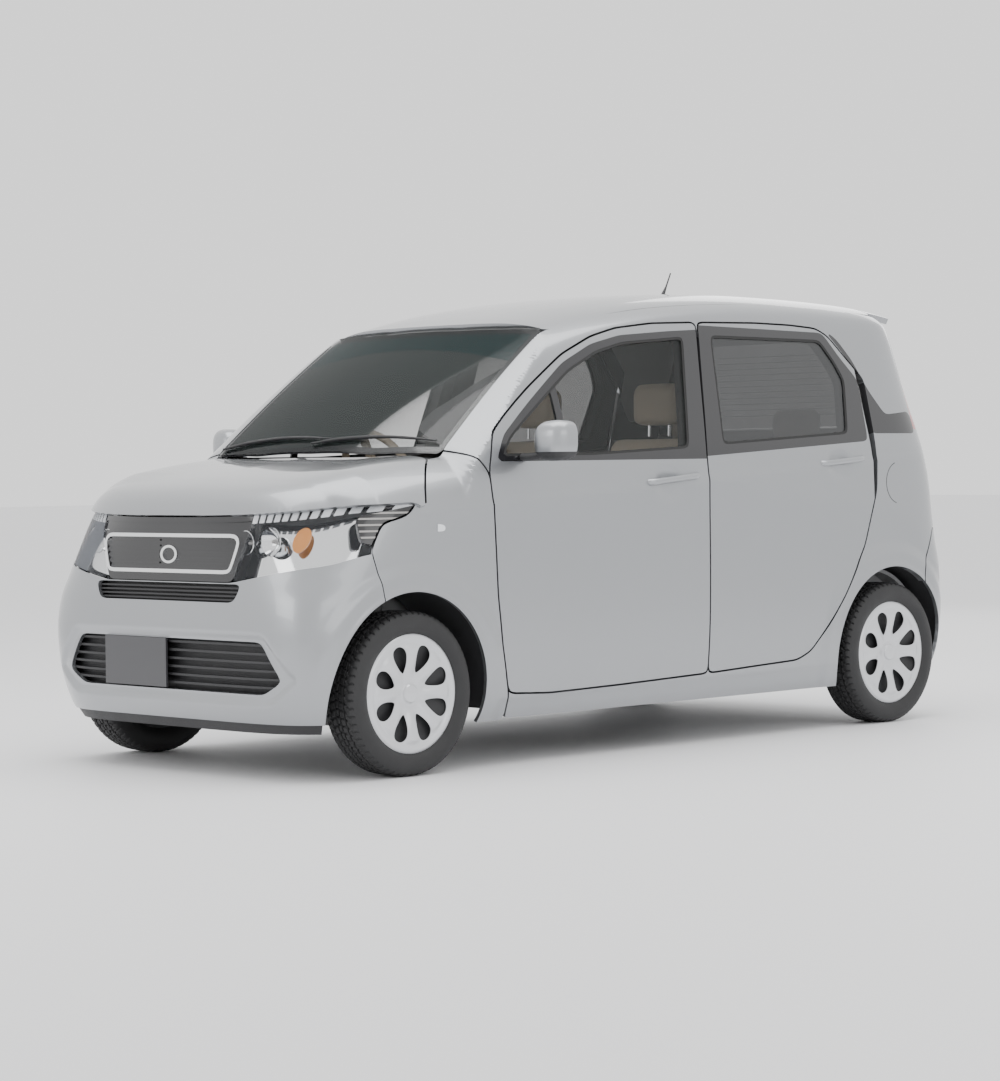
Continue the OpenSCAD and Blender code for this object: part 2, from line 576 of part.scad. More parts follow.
floor_pan();
front_body();
side_frame();  // left_body_side
mirror([0, 1, 0]) side_frame();  // right_body_side
roof_panel();
front_wings();
front_bumper();
rear_bumper();
grille();
headlamps();
tail_lamps();
windscreen();
front_plate();
bonnet();
tailgate();
tailgate_glass();
rear_wiper();
door(front_door_line, front_glass_line);  // left_front_door
door(rear_door_line, rear_glass_line);  // left_rear_door
mirror([0, 1, 0]) door(front_door_line, front_glass_line);  // right_front_door
mirror([0, 1, 0]) door(rear_door_line, rear_glass_line);  // right_rear_door
pane(front_glass_line);  // left_front_glass
pane(rear_glass_line);  // left_rear_glass
mirror([0, 1, 0]) pane(front_glass_line);  // right_front_glass
mirror([0, 1, 0]) pane(rear_glass_line);  // right_rear_glass
mirror_piece();  // left_mirror
mirror([0, 1, 0]) mirror_piece();  // right_mirror
dashboard();
steering_column();
steering_wheel();
front_seats();
rear_seat();
interior_mirror();
wipers();
aerial();
engine();
radiator();
exhaust();
fuel_tank();
front_suspension();
rear_axle_beam();  // rear_axle
knuckle();  // left_knuckle
mirror([0, 1, 0]) knuckle();  // right_knuckle
at_wheel(front_axle, 1) wheel();  // left_front_wheel
at_wheel(front_axle, -1) wheel();  // right_front_wheel
at_wheel(rear_axle, 1) wheel();  // left_rear_wheel
at_wheel(rear_axle, -1) wheel();  // right_rear_wheel
at_wheel(front_axle, 1) tyre();  // left_front_tyre
at_wheel(front_axle, -1) tyre();  // right_front_tyre
at_wheel(rear_axle, 1) tyre();  // left_rear_tyre
at_wheel(rear_axle, -1) tyre();  // right_rear_tyre
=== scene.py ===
import math
import bpy
import numpy as np
from mathutils import Matrix, Vector


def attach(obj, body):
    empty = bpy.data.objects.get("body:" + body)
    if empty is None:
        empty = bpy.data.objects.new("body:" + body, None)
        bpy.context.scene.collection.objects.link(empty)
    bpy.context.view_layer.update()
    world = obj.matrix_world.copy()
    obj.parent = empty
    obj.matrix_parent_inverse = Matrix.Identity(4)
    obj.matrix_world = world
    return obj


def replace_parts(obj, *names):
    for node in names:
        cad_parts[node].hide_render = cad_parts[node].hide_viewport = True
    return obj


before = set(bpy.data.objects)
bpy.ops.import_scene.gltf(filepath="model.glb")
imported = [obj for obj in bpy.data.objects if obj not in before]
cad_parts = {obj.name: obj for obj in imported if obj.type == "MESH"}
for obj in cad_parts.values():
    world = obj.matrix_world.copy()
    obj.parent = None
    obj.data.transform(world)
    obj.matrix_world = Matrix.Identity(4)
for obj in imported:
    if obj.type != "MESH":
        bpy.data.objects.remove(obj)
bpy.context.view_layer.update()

bpy.ops.object.select_all(action="DESELECT")
print("frame loaded")

# the camera
cameraSettings = {"place": (7.67, 7.65, 1.01), "yaw": 225.41, "pitch": -1.485, "roll": -0.70, "lens": 96.93}


def makeCamera(c):
    yaw, pitch, roll = (math.radians(c[k]) for k in ("yaw", "pitch", "roll"))
    ahead = Vector((math.cos(pitch) * math.cos(yaw), math.cos(pitch) * math.sin(yaw), math.sin(pitch)))
    right = ahead.cross(Vector((0, 0, 1))).normalized()
    up = right.cross(ahead)
    r = right * math.cos(roll) + up * math.sin(roll)
    u = up * math.cos(roll) - right * math.sin(roll)
    bpy.ops.object.camera_add()
    camera = bpy.context.object
    camera.data.lens = c["lens"]
    camera.data.clip_end = 200
    camera.matrix_world = Matrix.Translation(c["place"]) @ Matrix((r, u, -ahead)).transposed().to_4x4()
    bpy.context.scene.camera = camera


makeCamera(cameraSettings)


# materials
class Num:
    # a shader socket that Python arithmetic works on
    def __init__(self, tree, socket):
        self.tree, self.socket = tree, socket

    def step(self, kind, a, b):
        n = self.tree.nodes.new("ShaderNodeMath")
        n.operation = kind
        for i, v in enumerate((a, b)):
            if isinstance(v, Num):
                self.tree.links.new(v.socket, n.inputs[i])
            else:
                n.inputs[i].default_value = v
        return Num(self.tree, n.outputs[0])

    def __add__(self, o): return self.step("ADD", self, o)
    def __radd__(self, o): return self.step("ADD", o, self)
    def __sub__(self, o): return self.step("SUBTRACT", self, o)
    def __rsub__(self, o): return self.step("SUBTRACT", o, self)
    def __mul__(self, o): return self.step("MULTIPLY", self, o)
    def __rmul__(self, o): return self.step("MULTIPLY", o, self)


class Finish:
    # one material, its nodes and its main shader
    def __init__(self, name, colour, rough, metal=0.0, coat=0.0, **fixed):
        self.material = bpy.data.materials.new(name)
        self.material.use_nodes = True
        self.tree = self.material.node_tree
        self.shader = self.tree.nodes["Principled BSDF"]
        self.colour, self.rough = colour, rough
        self.put("Base Color", (*colour, 1))
        self.put("Roughness", rough)
        self.put("Metallic", metal)
        self.put("Coat Weight", coat)
        for k, v in fixed.items():
            self.put(k.replace("_", " "), v)
        self.place = self.node("ShaderNodeTexCoord").outputs["Object"]

    def put(self, name, value):
        if isinstance(value, (Num, bpy.types.NodeSocket)):
            self.tree.links.new(value.socket if isinstance(value, Num) else value, self.shader.inputs[name])
        else:
            self.shader.inputs[name].default_value = value

    def node(self, kind, settings=None, **inputs):
        n = self.tree.nodes.new(kind)
        for k, v in (settings or {}).items():
            setattr(n, k, v)
        for k, v in inputs.items():
            s = n.inputs[k.replace("_", " ")]
            if isinstance(v, (Num, bpy.types.NodeSocket)):
                self.tree.links.new(v.socket if isinstance(v, Num) else v, s)
            else:
                s.default_value = v
        return n

    def noise(self, scale, detail=2.0):
        n = self.node("ShaderNodeTexNoise", Vector=self.place, Scale=scale, Detail=detail)
        return Num(self.tree, n.outputs["Fac"])

    def shade(self, mask, other):
        n = self.node("ShaderNodeMix", {"data_type": "RGBA"})
        n.inputs[6].default_value = (*self.colour, 1)
        n.inputs[7].default_value = (*other, 1)
        self.tree.links.new(mask.socket, n.inputs[0])
        self.put("Base Color", n.outputs[2])
        return self

    def bump(self, height, distance, strength=1.0):
        n = self.node("ShaderNodeBump", Height=height, Distance=distance, Strength=strength)
        self.put("Normal", n.outputs[0])
        return self

    def vary(self, scale, amount):
        self.put("Roughness", self.noise(scale) * amount + (self.rough - amount / 2))
        return self


def paintFinish(name, colour):
    f = Finish(name, colour, 0.34, 0.86, 1.0, Coat_Roughness=0.03, Coat_IOR=1.5)
    flakes = f.noise(2200, 1)
    f.shade(flakes * 0.5 + f.noise(3) * 0.15, tuple(min(1, c * 1.18) for c in colour))
    f.put("Roughness", flakes * 0.1 + 0.29)
    return f


def glassFinish(name, colour, thin, rough=0.02):
    f = Finish(name, colour, rough, 0, 0, IOR=1.9)
    edge = Num(f.tree, f.node("ShaderNodeLayerWeight", Blend=0.12).outputs["Fresnel"])
    f.put("Alpha", edge * (1 - thin) + thin)
    f.put("Roughness", f.noise(3) * 0.02 + rough)
    return f


paint = paintFinish("silverPaint", (0.33, 0.34, 0.355))
glossBlack = Finish("glossBlack", (0.012, 0.012, 0.014), 0.12, 0, 0.6).vary(6, 0.06)
blackPlastic = Finish("blackPlastic", (0.022, 0.022, 0.024), 0.5)
blackPlastic.bump(blackPlastic.noise(900), 0.0004).vary(12, 0.12)
# black rubber for the glass seals; the same black also paints the shade of the fuel flap's gap
sealAndGapShadeBlack = Finish("sealRubberAndGapShade", (0.012, 0.012, 0.012), 0.65).vary(30, 0.1)
chrome = Finish("chrome", (0.86, 0.87, 0.88), 0.07, 1.0).vary(14, 0.05)
wheelSilver = Finish("wheelSilver", (0.62, 0.63, 0.65), 0.3, 0.6, 0.5).vary(60, 0.08)
rubber = Finish("tyreRubber", (0.018, 0.018, 0.019), 0.62)
rubber.bump(rubber.noise(700), 0.0005).vary(20, 0.14)
clearGlass = glassFinish("clearGlass", (0.03, 0.036, 0.035), 0.14)
tintBand = glassFinish("tintBand", (0.006, 0.03, 0.032), 0.55)
darkGlass = glassFinish("darkGlass", (0.012, 0.014, 0.016), 0.62)
lampGlass = glassFinish("lampGlass", (0.2, 0.21, 0.23), 0.06)
lampRed = Finish("lampRed", (0.42, 0.012, 0.012), 0.12, 0, 1.0).vary(9, 0.05)
amber = Finish("amber", (0.75, 0.27, 0.03), 0.15, 0, 0.8).vary(9, 0.05)
lensWhite = Finish("lensWhite", (0.82, 0.84, 0.87), 0.12, 0, 1.0).vary(9, 0.05)
trimDark = Finish("trimDark", (0.035, 0.034, 0.034), 0.6)
trimDark.bump(trimDark.noise(600), 0.0004).vary(9, 0.1)
trimBeige = Finish("trimBeige", (0.50, 0.43, 0.34), 0.65)
trimBeige.bump(trimBeige.noise(700), 0.0004).vary(9, 0.1)
cloth = Finish("seatCloth", (0.60, 0.52, 0.41), 0.88, Sheen_Weight=0.3)
weave = cloth.noise(1400, 1)
cloth.shade(weave * 0.8, (0.42, 0.36, 0.28)).bump(weave, 0.0008)
castGrey = Finish("castMetal", (0.14, 0.14, 0.14), 0.55, 0.6)
castGrey.bump(castGrey.noise(260), 0.0008).vary(20, 0.2)
steelDull = Finish("dullSteel", (0.38, 0.37, 0.36), 0.42, 0.9).vary(18, 0.2)
underPaint = Finish("underPaint", (0.30, 0.305, 0.31), 0.5, 0.3).vary(7, 0.15)
plateBlack = Finish("plateBlack", (0.05, 0.05, 0.055), 0.35, 0, 0.3).vary(8, 0.08)

# shape tools: smooth surfaces, cut to outlines
gap = 3.5  # half of the gap between two panels


def curve(*pairs):
    # a smooth line through the given pairs
    k, v = (np.array(c, float) for c in zip(*pairs))
    s = np.empty_like(v)
    s[1:-1] = (v[2:] - v[:-2]) / (k[2:] - k[:-2])
    s[0], s[-1] = (v[1] - v[0]) / (k[1] - k[0]), (v[-1] - v[-2]) / (k[-1] - k[-2])

    def at(p):
        p = np.clip(p, k[0], k[-1])
        i = np.clip(np.searchsorted(k, p, side="right") - 1, 0, len(k) - 2)
        h = k[i + 1] - k[i]
        t = (p - k[i]) / h
        return (v[i] * (1 + 2 * t) * (1 - t) ** 2 + h * s[i] * t * (1 - t) ** 2
                + v[i + 1] * t * t * (3 - 2 * t) + h * s[i + 1] * t * t * (t - 1))
    return at


halfWidth = curve((150, 688), (190, 703), (250, 716), (400, 731), (600, 737), (850, 737), (950, 734),
                  (1050, 725),
                  (1100, 715), (1200, 691), (1400, 641), (1500, 616), (1550, 599), (1590, 570), (1620, 525),
                  (1650, 450))
noseEnd = curve((150, 1655), (200, 1675), (276, 1690), (350, 1697.5), (451, 1697.5), (573, 1692), (640, 1684),
                (725, 1677), (849, 1671), (1000, 1660))
tailEnd = curve((150, 1640), (200, 1665), (300, 1690), (450, 1697.5), (600, 1692), (700, 1668), (800, 1655),
                (930, 1645), (1120, 1622), (1245, 1588), (1440, 1552), (1550, 1526), (1650, 1500))
noseSquare = curve((150, 6), (430, 8.5), (560, 7.5), (664, 5.5), (835, 3.5), (1000, 3.2))
tailSquare = curve((150, 7), (450, 8.5), (930, 7), (1120, 6), (1650, 6))
roofLine = curve((-1560, 1612), (-1400, 1634), (-1250, 1644), (-1000, 1652), (-700, 1655), (-480, 1651),
                 (-250, 1639), (-50, 1621), (100, 1601), (250, 1575), (400, 1540), (520, 1506), (700, 1470))
roofDrop = curve((0, 0), (200, 3), (350, 12), (450, 27), (520, 46), (570, 72), (600, 100), (640, 190),
                 (690, 330),
                 (760, 600))
roofReach = curve((0, 0), (3, 200), (12, 350), (27, 450), (46, 520), (72, 570), (100, 600), (190, 640),
                  (330, 690),
                  (600, 760))
bonnetLine = curve((940, 1054), (1000, 1050), (1100, 1040), (1200, 1028), (1300, 1013), (1400, 995),
                   (1500, 972),
                   (1580, 945), (1625, 915), (1655, 880), (1671, 849), (1678, 800))
bonnetDrop = curve((0, 0), (300, 2), (480, 0), (540, 2), (580, 8), (620, 20), (660, 42), (700, 78),
                   (740, 150))
bonnetReach = curve((0, 548), (2, 556), (8, 580), (20, 620), (42, 660), (78, 700), (150, 740), (300, 800))
screenEdge = curve((-1600, 548), (-1400, 548), (0, 544), (431, 541), (1010, 594), (1200, 611))


def softMin(a, b, k):
    h = np.clip(0.5 + 0.5 * (b - a) / k, 0, 1)
    return b * (1 - h) + a * h - k * h * (1 - h)


def ramp(v, a, b):
    t = np.clip((v - a) / (b - a), 0, 1)
    return t * t * (3 - 2 * t)


def screenZ(x, y):
    q = (y / 560) ** 2
    t = (1052 - 62 * q - x) / (1.235 + 0.064 * q)
    return 1055 + t + 14 * np.sin(np.pi * np.clip(t / 440, 0, 1))


def arch(x, z):
    # how far the wheel arch lips swell out
    front = np.hypot(x - 1244, z - 270)
    rear = np.hypot(x + 1270, z - 270)
    near = np.minimum(front, rear)
    dish = 11 * np.exp(-(np.hypot((x - 10) / 66, (z - 938) / 48)) ** 4)
    dish = dish + 11 * np.exp(-(np.hypot((x + 957) / 62, (z - 1000) / 46)) ** 4)
    return 8 * ramp(near, 430, 385) + 3 * ramp(near, 352, 338) - dish


def sideY(x, z):
    y = halfWidth(z) - 4 * (x / 1000) ** 2
    y = softMin(y, roofReach(np.clip(roofLine(x) - z, 0, 600)), 14)
    edge = screenEdge(x)
    h = screenZ(x, edge) - z
    d = (-0.25 + np.sqrt(0.0625 + 0.0064 * np.clip(h, 0, None))) / 0.0032 + np.minimum(h, 0) * 4
    d = edge + d
    low = bonnetReach(np.clip(bonnetLine(x) - z, 0, 400))
    d = np.where(x > 950, d + (low - d) * ramp(x, 950, 1010), d)
    y = np.where(x > 380, softMin(y, d, 16), y)
    s = z - (935 - 0.064 * x)
    y = y + 5 * np.exp(-np.abs(s) / np.where(s > 0, 15, 60)) * ramp(x, 1240, 1150) * ramp(x, -1560, -1480)
    s = z - (236 - 0.012 * x)
    y = y + 4 * np.exp(-np.abs(s) / np.where(s > 0, 60, 12)) * ramp(x, 880, 820) * ramp(x, -960, -900)
    return y + arch(x, z)


def skin(s, z):
    # the body's side, wrapped round the nose and the tail: s runs along it
    front = s > 1000
    back = s < -1100
    root = np.where(front, 1000, -1100)
    a = np.where(front, noseEnd(z) - 1000, -(tailEnd(z) - 1100))
    n = np.where(front, noseSquare(z), tailSquare(z))
    turn = np.where(front, s - 1000, -1100 - s) / 1437 * np.pi / 2
    c, w = np.cos(np.pi / 2 - turn), np.sin(np.pi / 2 - turn)
    rho = (np.abs(c) ** n + np.abs(w) ** n) ** (-1 / n)
    x = np.where(front | back, root + a * c * rho, s)
    y = sideY(x, z) * np.where(front | back, w * rho, 1)
    return x, y, z + 0 * s


def bodyHalf(x, z):
    # half width of the body, its rounded corners included
    ahead = np.clip((x - 1000) / (noseEnd(z) - 1000), 0, 0.999) ** noseSquare(z)
    behindIt = np.clip((-x - 1100) / (tailEnd(z) - 1100), 0, 0.999) ** tailSquare(z)
    return sideY(x, z) * (1 - ahead) ** (1 / noseSquare(z)) * (1 - behindIt) ** (1 / tailSquare(z))


def roofZ(x, y):
    return roofLine(x) - roofDrop(np.abs(y))


def bonnetZ(x, y):
    back = 671 * (1 - (1 - np.minimum(np.abs(y) / 742, 1) ** 3.5) ** (1 / 3.5))
    return bonnetLine(x + back * np.clip((x - 1380) / 120, 0, 1)) - bonnetDrop(np.abs(y))


def sheet(surface, a, b, step):
    # a grid of points on a surface, as points and triangles
    if not hasattr(step, "__len__"):
        step = (step, step)
    u = np.linspace(a[0], a[1], max(2, int(abs(a[1] - a[0]) / step[0]) + 1))
    w = np.linspace(b[0], b[1], max(2, int(abs(b[1] - b[0]) / step[1]) + 1))
    uu, ww = np.meshgrid(u, w, indexing="ij")
    points = np.stack([np.broadcast_to(c, uu.shape).ravel() for c in surface(uu, ww)], 1)
    i = np.arange(len(u) * len(w)).reshape(len(u), len(w))
    p, q, r, s = i[:-1, :-1].ravel(), i[1:, :-1].ravel(), i[1:, 1:].ravel(), i[:-1, 1:].ravel()
    return points, np.concatenate([np.stack([p, q, r], 1), np.stack([p, r, s], 1)])


alongX, alongZ = (1, 2), (0, 1)  # which two of x, y and z an outline seen that way is drawn in


def outline(points, grow=0.0, axes=(0, 2), soften=2):
    # distance to an outline, less than nothing inside it; seen along X, both halves count as the left
    p = np.array(points, float)
    for _ in range(soften):  # corners rounded a little
        nxt = np.roll(p, -1, 0)
        length = np.linalg.norm(nxt - p, axis=1, keepdims=True)
        t = np.minimum(0.25, 14 / np.maximum(length, 1e-6))
        p = np.stack([p + (nxt - p) * t, nxt - (nxt - p) * t], 1).reshape(-1, 2)
    q = np.roll(p, -1, 0)

    def distance(v):
        w = v[:, axes]
        if axes[0] == 1:
            w = np.stack([np.abs(w[:, 0]), w[:, 1]], 1)
        best = np.full(len(w), 1e9)
        inside = np.zeros(len(w), bool)
        for a, b in zip(p, q):
            e, d = b - a, w - a
            t = np.clip(d @ e / max(e @ e, 1e-9), 0, 1)
            best = np.minimum(best, np.hypot(*(d - t[:, None] * e).T))
            crosses = (a[1] > w[:, 1]) != (b[1] > w[:, 1])
            with np.errstate(divide="ignore", invalid="ignore"):
                inside ^= crosses & (w[:, 0] < (b[0] - a[0]) * (w[:, 1] - a[1]) / (b[1] - a[1]) + a[0])
        return np.where(inside, -best, best) - grow
    return distance


def outside(f):
    return lambda v: -f(v)


def cut(mesh, *tests):
    # keeps what every test calls less than nothing
    points, faces = mesh
    for test in tests:
        d = test(points)
        d = np.where(np.abs(d) < 1e-6, 1e-6, d)
        keep = (d < 0)[faces].sum(1)
        whole = faces[keep == 3]
        extra, made, parts = [], {}, []

        def between(a, b):
            key = (min(a, b), max(a, b))
            if key not in made:
                made[key] = len(points) + len(extra)
                extra.append(points[a] + (points[b] - points[a]) * (d[a] / (d[a] - d[b])))
            return made[key]
        for tri, n in zip(faces[(keep == 1) | (keep == 2)].tolist(), keep[(keep == 1) | (keep == 2)]):
            while (d[tri[0]] < 0) != (n == 1) or (n == 1 and d[tri[0]] >= 0) or (n == 2 and d[tri[0]] < 0):
                tri = tri[1:] + tri[:1]
            a, b, c = tri
            if n == 1:
                parts.append((a, between(a, b), between(a, c)))
            else:
                ab, ac = between(a, b), between(a, c)
                parts += [(ab, b, c), (ab, c, ac)]
        points = np.concatenate([points, np.array(extra)]) if extra else points
        faces = np.concatenate([whole, np.array(parts, int).reshape(-1, 3)])
        used, back = np.unique(faces, return_inverse=True)
        points, faces = points[used], back.reshape(-1, 3)
    return points, faces


def shifted(surface, depth):
    # the same surface moved inwards
    def at(u, w):
        x, y, z = (np.asarray(c, float) + 0 * u for c in surface(u, w))
        e = 0.5
        pu = [np.asarray(c, float) + 0 * u for c in surface(u + e, w)]
        pw = [np.asarray(c, float) + 0 * u for c in surface(u, w + e)]
        n = np.cross(np.stack([a - b for a, b in zip(pu, (x, y, z))], -1),
                     np.stack([a - b for a, b in zip(pw, (x, y, z))], -1))
        n /= np.maximum(np.linalg.norm(n, axis=-1, keepdims=True), 1e-9)
        centre = np.stack([x * 0.6, 0 * y, 0 * z + 700], -1)
        n *= np.sign(((np.stack([x, y, z], -1) - centre) * n).sum(-1, keepdims=True))
        return x - n[..., 0] * depth, y - n[..., 1] * depth, z - n[..., 2] * depth
    return at


def joined(*meshes):
    points, faces, n = [], [], 0
    for p, f in meshes:
        points.append(p)
        faces.append(f + n)
        n += len(p)
    return np.concatenate(points), np.concatenate(faces)


def flipped(mesh):
    return mesh[0] * (1, -1, 1), mesh[1][:, ::-1]


def piece(name, mesh, body, finishes, thick=0.0, nodes=(), centre=None, smooth=35):
    # an object from a mesh in millimetres, with a wall and its finishes: outer, inner, edge
    points, faces = mesh
    middle = np.array(centre if centre is not None else (points[:, 0].mean() * 0.6, 0, 650), float)
    if thick:
        tri = points[faces]
        n = np.cross(tri[:, 1] - tri[:, 0], tri[:, 2] - tri[:, 0])
        if ((tri.mean(1) - middle) * n).sum() < 0:
            faces = faces[:, ::-1]
    data = bpy.data.meshes.new(name)
    data.from_pydata((points * 0.001).tolist(), [], faces.tolist())
    data.validate()
    item = bpy.data.objects.new(name, data)
    bpy.context.collection.objects.link(item)
    finishes = finishes if isinstance(finishes, (list, tuple)) else [finishes]
    for f in finishes:
        data.materials.append(f.material)
    bpy.ops.object.select_all(action="DESELECT")
    item.select_set(True)
    bpy.context.view_layer.objects.active = item
    if thick:
        m = item.modifiers.new("wall", "SOLIDIFY")
        m.thickness, m.offset = thick * 0.001, -1
        if len(finishes) > 1:
            m.material_offset = 1
            m.material_offset_rim = 2 if len(finishes) > 2 else 0
        bpy.ops.object.modifier_apply(modifier=m.name)
    if smooth:
        bpy.ops.object.shade_smooth_by_angle(angle=math.radians(smooth))
    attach(item, body)
    if nodes:
        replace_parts(item, *nodes)
    item.select_set(False)
    return item


def pair(name, mesh, body, finishes, thick=0.0, nodes=(), **more):
    # the left piece and its mirror image
    for side in ("left", "right"):
        m = mesh if side == "left" else flipped(mesh)
        b = body.replace("left", side)
        piece(side + name, m, b, finishes, thick, [n.replace("left", side) for n in nodes], **more)


# outlines, the same lines as the solid model's, in millimetres
frontDoor = [(802, 243), (606, 233), (264, 239), (-205, 252), (-205, 1056), (-241, 1280), (-281, 1520),
             (-46, 1511),
             (141, 1490), (274, 1457), (430, 1393), (632, 1271), (773, 1177), (845, 1119), (891, 987),
             (875, 809),
             (863, 579), (839, 405)]
rearDoor = [(-205, 252), (-471, 263), (-707, 272), (-784, 300), (-858, 367), (-976, 505), (-1100, 684),
            (-1178, 893), (-1191, 1104), (-1197, 1323), (-1109, 1408), (-1030, 1486), (-967, 1514),
            (-817, 1523),
            (-618, 1526), (-289, 1520), (-245, 1280), (-205, 1056)]
frontGlass = [(822, 1040), (770, 1105), (620, 1208), (425, 1338), (270, 1406), (130, 1440), (-195, 1466),
              (-112, 1062), (387, 1041)]
rearGlass = [(-345, 1474), (-976, 1470), (-1042, 1388), (-1080, 1318), (-1034, 1112), (-299, 1074)]
frontFrame = [(850, 1022), (795, 1112), (640, 1225), (440, 1362), (285, 1430), (135, 1464), (-120, 1484),
              (-330, 1496), (-330, 1024)]
rearFrame = [(-150, 1512), (-1000, 1498), (-1075, 1408), (-1160, 1320), (-1150, 1085), (-150, 1030)]
sideLine = [(-1400, 150), (-1800, 150), (-1800, 1700), (300, 1700), (1012, 1086), (940, 1040), (891, 987),
            (875, 809),
            (863, 579), (839, 405), (802, 243), (802, 150)]
wingLine = [(891, 987), (940, 1040), (1012, 1086), (1070, 1090), (1221, 1090), (1221, 890), (1260, 851),
            (1359, 826), (1413, 739), (1378, 594), (1378, 150), (802, 150), (802, 243), (839, 405),
            (863, 579),
            (875, 809)]
lampTop = [(1100, 700), (1221, 890), (1450, 884), (1600, 866), (1760, 836), (1760, 600), (1100, 600)]
bonnetLineTop = [(1050, 594), (1120, 660), (1180, 722), (1221, 780), (1221, 820), (1800, 820), (1800, -820),
                 (1221, -820),
                 (1221, -780), (1180, -722), (1120, -660), (1050, -594), (1062, -300), (1068, 0), (1062, 300)]
bumperFoot = [(1413, 739), (1378, 594), (1378, 100), (1800, 100), (1800, 900), (1413, 900)]
bumperFront = [(-900, 140), (900, 140), (900, 762), (748, 762), (676, 699), (420, 655), (330, 640),
               (-330, 640),
               (-420, 655), (-676, 699), (-748, 762), (-900, 762)]
mouth = [(477, 451), (564, 326), (477, 280), (-477, 280), (-564, 326), (-477, 451)]
mouthEdge = [(500, 478), (640, 330), (520, 246), (-520, 246), (-640, 330), (-500, 478)]
duct = [(385, 635), (355, 575), (-355, 575), (-385, 635)]
face = [(330, 640), (372, 759), (388, 802), (392, 900), (-392, 900), (-388, 802), (-372, 759), (-330, 640)]
grilleRim = [(318, 667), (335, 690), (362, 770), (340, 797), (-340, 797), (-362, 770), (-335, 690),
             (-318, 667)]
lampFront = [(330, 640), (420, 655), (676, 699), (760, 770), (770, 960), (388, 960), (388, 802), (372, 759)]
lampSide = [(1100, 890), (1221, 890), (1260, 851), (1359, 826), (1413, 739), (1430, 600), (1800, 600),
            (1800, 960),
            (1100, 960)]
gate = [(590, 560), (600, 700), (600, 1120), (560, 1300), (530, 1460), (520, 1720), (-520, 1720),
        (-530, 1460),
        (-560, 1300), (-600, 1120), (-600, 700), (-590, 560)]
gateGlass = [(520, 1150), (490, 1300), (450, 1500), (-450, 1500), (-490, 1300), (-520, 1150)]
tailLamp = [(606, 1130), (612, 1205), (575, 1300), (545, 1470), (640, 1470), (690, 1330), (760, 1130)]
rearFoot = [(-1430, 150), (-1480, 610), (-1560, 750), (-1800, 750), (-1800, 150)]
pillarStrip = [(-1195, 1300), (-1181, 1117), (-1475, 1117), (-1463, 1198), (-1288, 1184), (-1213, 1277),
               (-1147, 1396),
               (-1078, 1474), (-1030, 1500), (-1115, 1412)]
blackBand = [(-1181, 1117), (-1475, 1117), (-1475, 1192), (-1288, 1184), (-1195, 1300)]
roofPlan = [(-1381, -549), (-1381, 549), (431, 541), (470, 350), (495, 180), (500, 0), (495, -180),
            (470, -350),
            (431, -541)]
screenPlan = [(437, 541), (985, 590), (1035, 300), (1045, 0), (1035, -300), (985, -590), (437, -541),
              (476, -350),
              (501, -180), (506, 0), (501, 180), (476, 350)]


def circle(x, z, r):
    return lambda v: np.hypot(v[:, 0] - x, v[:, 2] - z) - r


def above(z):
    return lambda v: z - v[:, 2]


def below(z):
    return lambda v: v[:, 2] - z


frontArch, rearArch = outside(circle(1247.5, 270, 332)), outside(circle(-1272.5, 270, 332))


# doors and their glass
doorSizes = {"wall": 58, "glassWall": 4, "glassDepth": 5, "step": 12, "jambDepth": 61}


def makeDoor(name, line, glass, frameLine, xs, paneFinish, d):
    body = "left_" + name + "_door"
    opening = outline(glass, 0)
    whole = cut(sheet(skin, xs, (225, 1530), d["step"]), outline(line, -gap), outside(opening))
    frameTest = outline(frameLine, 0)
    painted = cut(whole, outside(frameTest))
    black = cut(whole, frameTest)
    pair(name.title() + "DoorPanel", painted, body, [paint, trimDark, paint], d["wall"], [body])
    pair(name.title() + "DoorFrame", black, body, [glossBlack, trimDark, blackPlastic], d["wall"] - 4)
    pane = cut(sheet(shifted(skin, d["glassDepth"]), xs, (1000, 1530), 20), outline(glass, -0.4))
    pair(name.title() + "DoorGlass", pane, body, paneFinish, d["glassWall"], ["left_" + name + "_glass"])
    lip = cut(sheet(shifted(skin, 1), xs, (1000, 1530), 10), outline(glass, 1), outside(outline(glass, -9)))
    pair(name.title() + "GlassSeal", lip, body, sealAndGapShadeBlack, 6)


makeDoor("front", frontDoor, frontGlass, frontFrame, (-300, 900), clearGlass, doorSizes)
makeDoor("rear", rearDoor, rearGlass, rearFrame, (-1205, -190), darkGlass, doorSizes)
divider = cut(sheet(shifted(skin, 3), (480, 560), (1020, 1400), 8), outline(frontGlass, -1),
              outline([(498, 1000), (528, 1000), (528, 1420), (498, 1420)], 0))
pair("QuarterLightBar", divider, "left_front_door", glossBlack, 10)
for name, line, xs in (("front", frontDoor, (-340, 930)), ("rear", rearDoor, (-1240, -150))):
    jamb = cut(sheet(shifted(skin, doorSizes["jambDepth"]), xs, (200, 1560), 12), outline(line, 26),
               outside(outline(line, -30)), frontArch, rearArch)
    pair(name.title() + "DoorJamb", jamb, "body", blackPlastic, 4)
print("doors made")

# body sides, roof, screen
bodySizes = {"sideWall": 30, "step": 12, "roofWall": 26, "screenWall": 5, "roofEnd": -1381, "sillFoot": 158,
             "trimWall": 28, "lampWall": 24, "lampStart": -1475, "borderDepth": 4.6, "borderWidth": 26,
             "bandEnd": 600}
wellInside = -50  # a test value that always keeps


def edgeOfRoof(v):
    return screenEdge(v[:, 0]) + 0.5 - np.abs(v[:, 1])


def clearOfGate(v):
    # behind the end of the roof, only what lies outside the tailgate
    return np.where(v[:, 0] > bodySizes["roofEnd"], wellInside, -outline(gate, gap, alongX)(v))


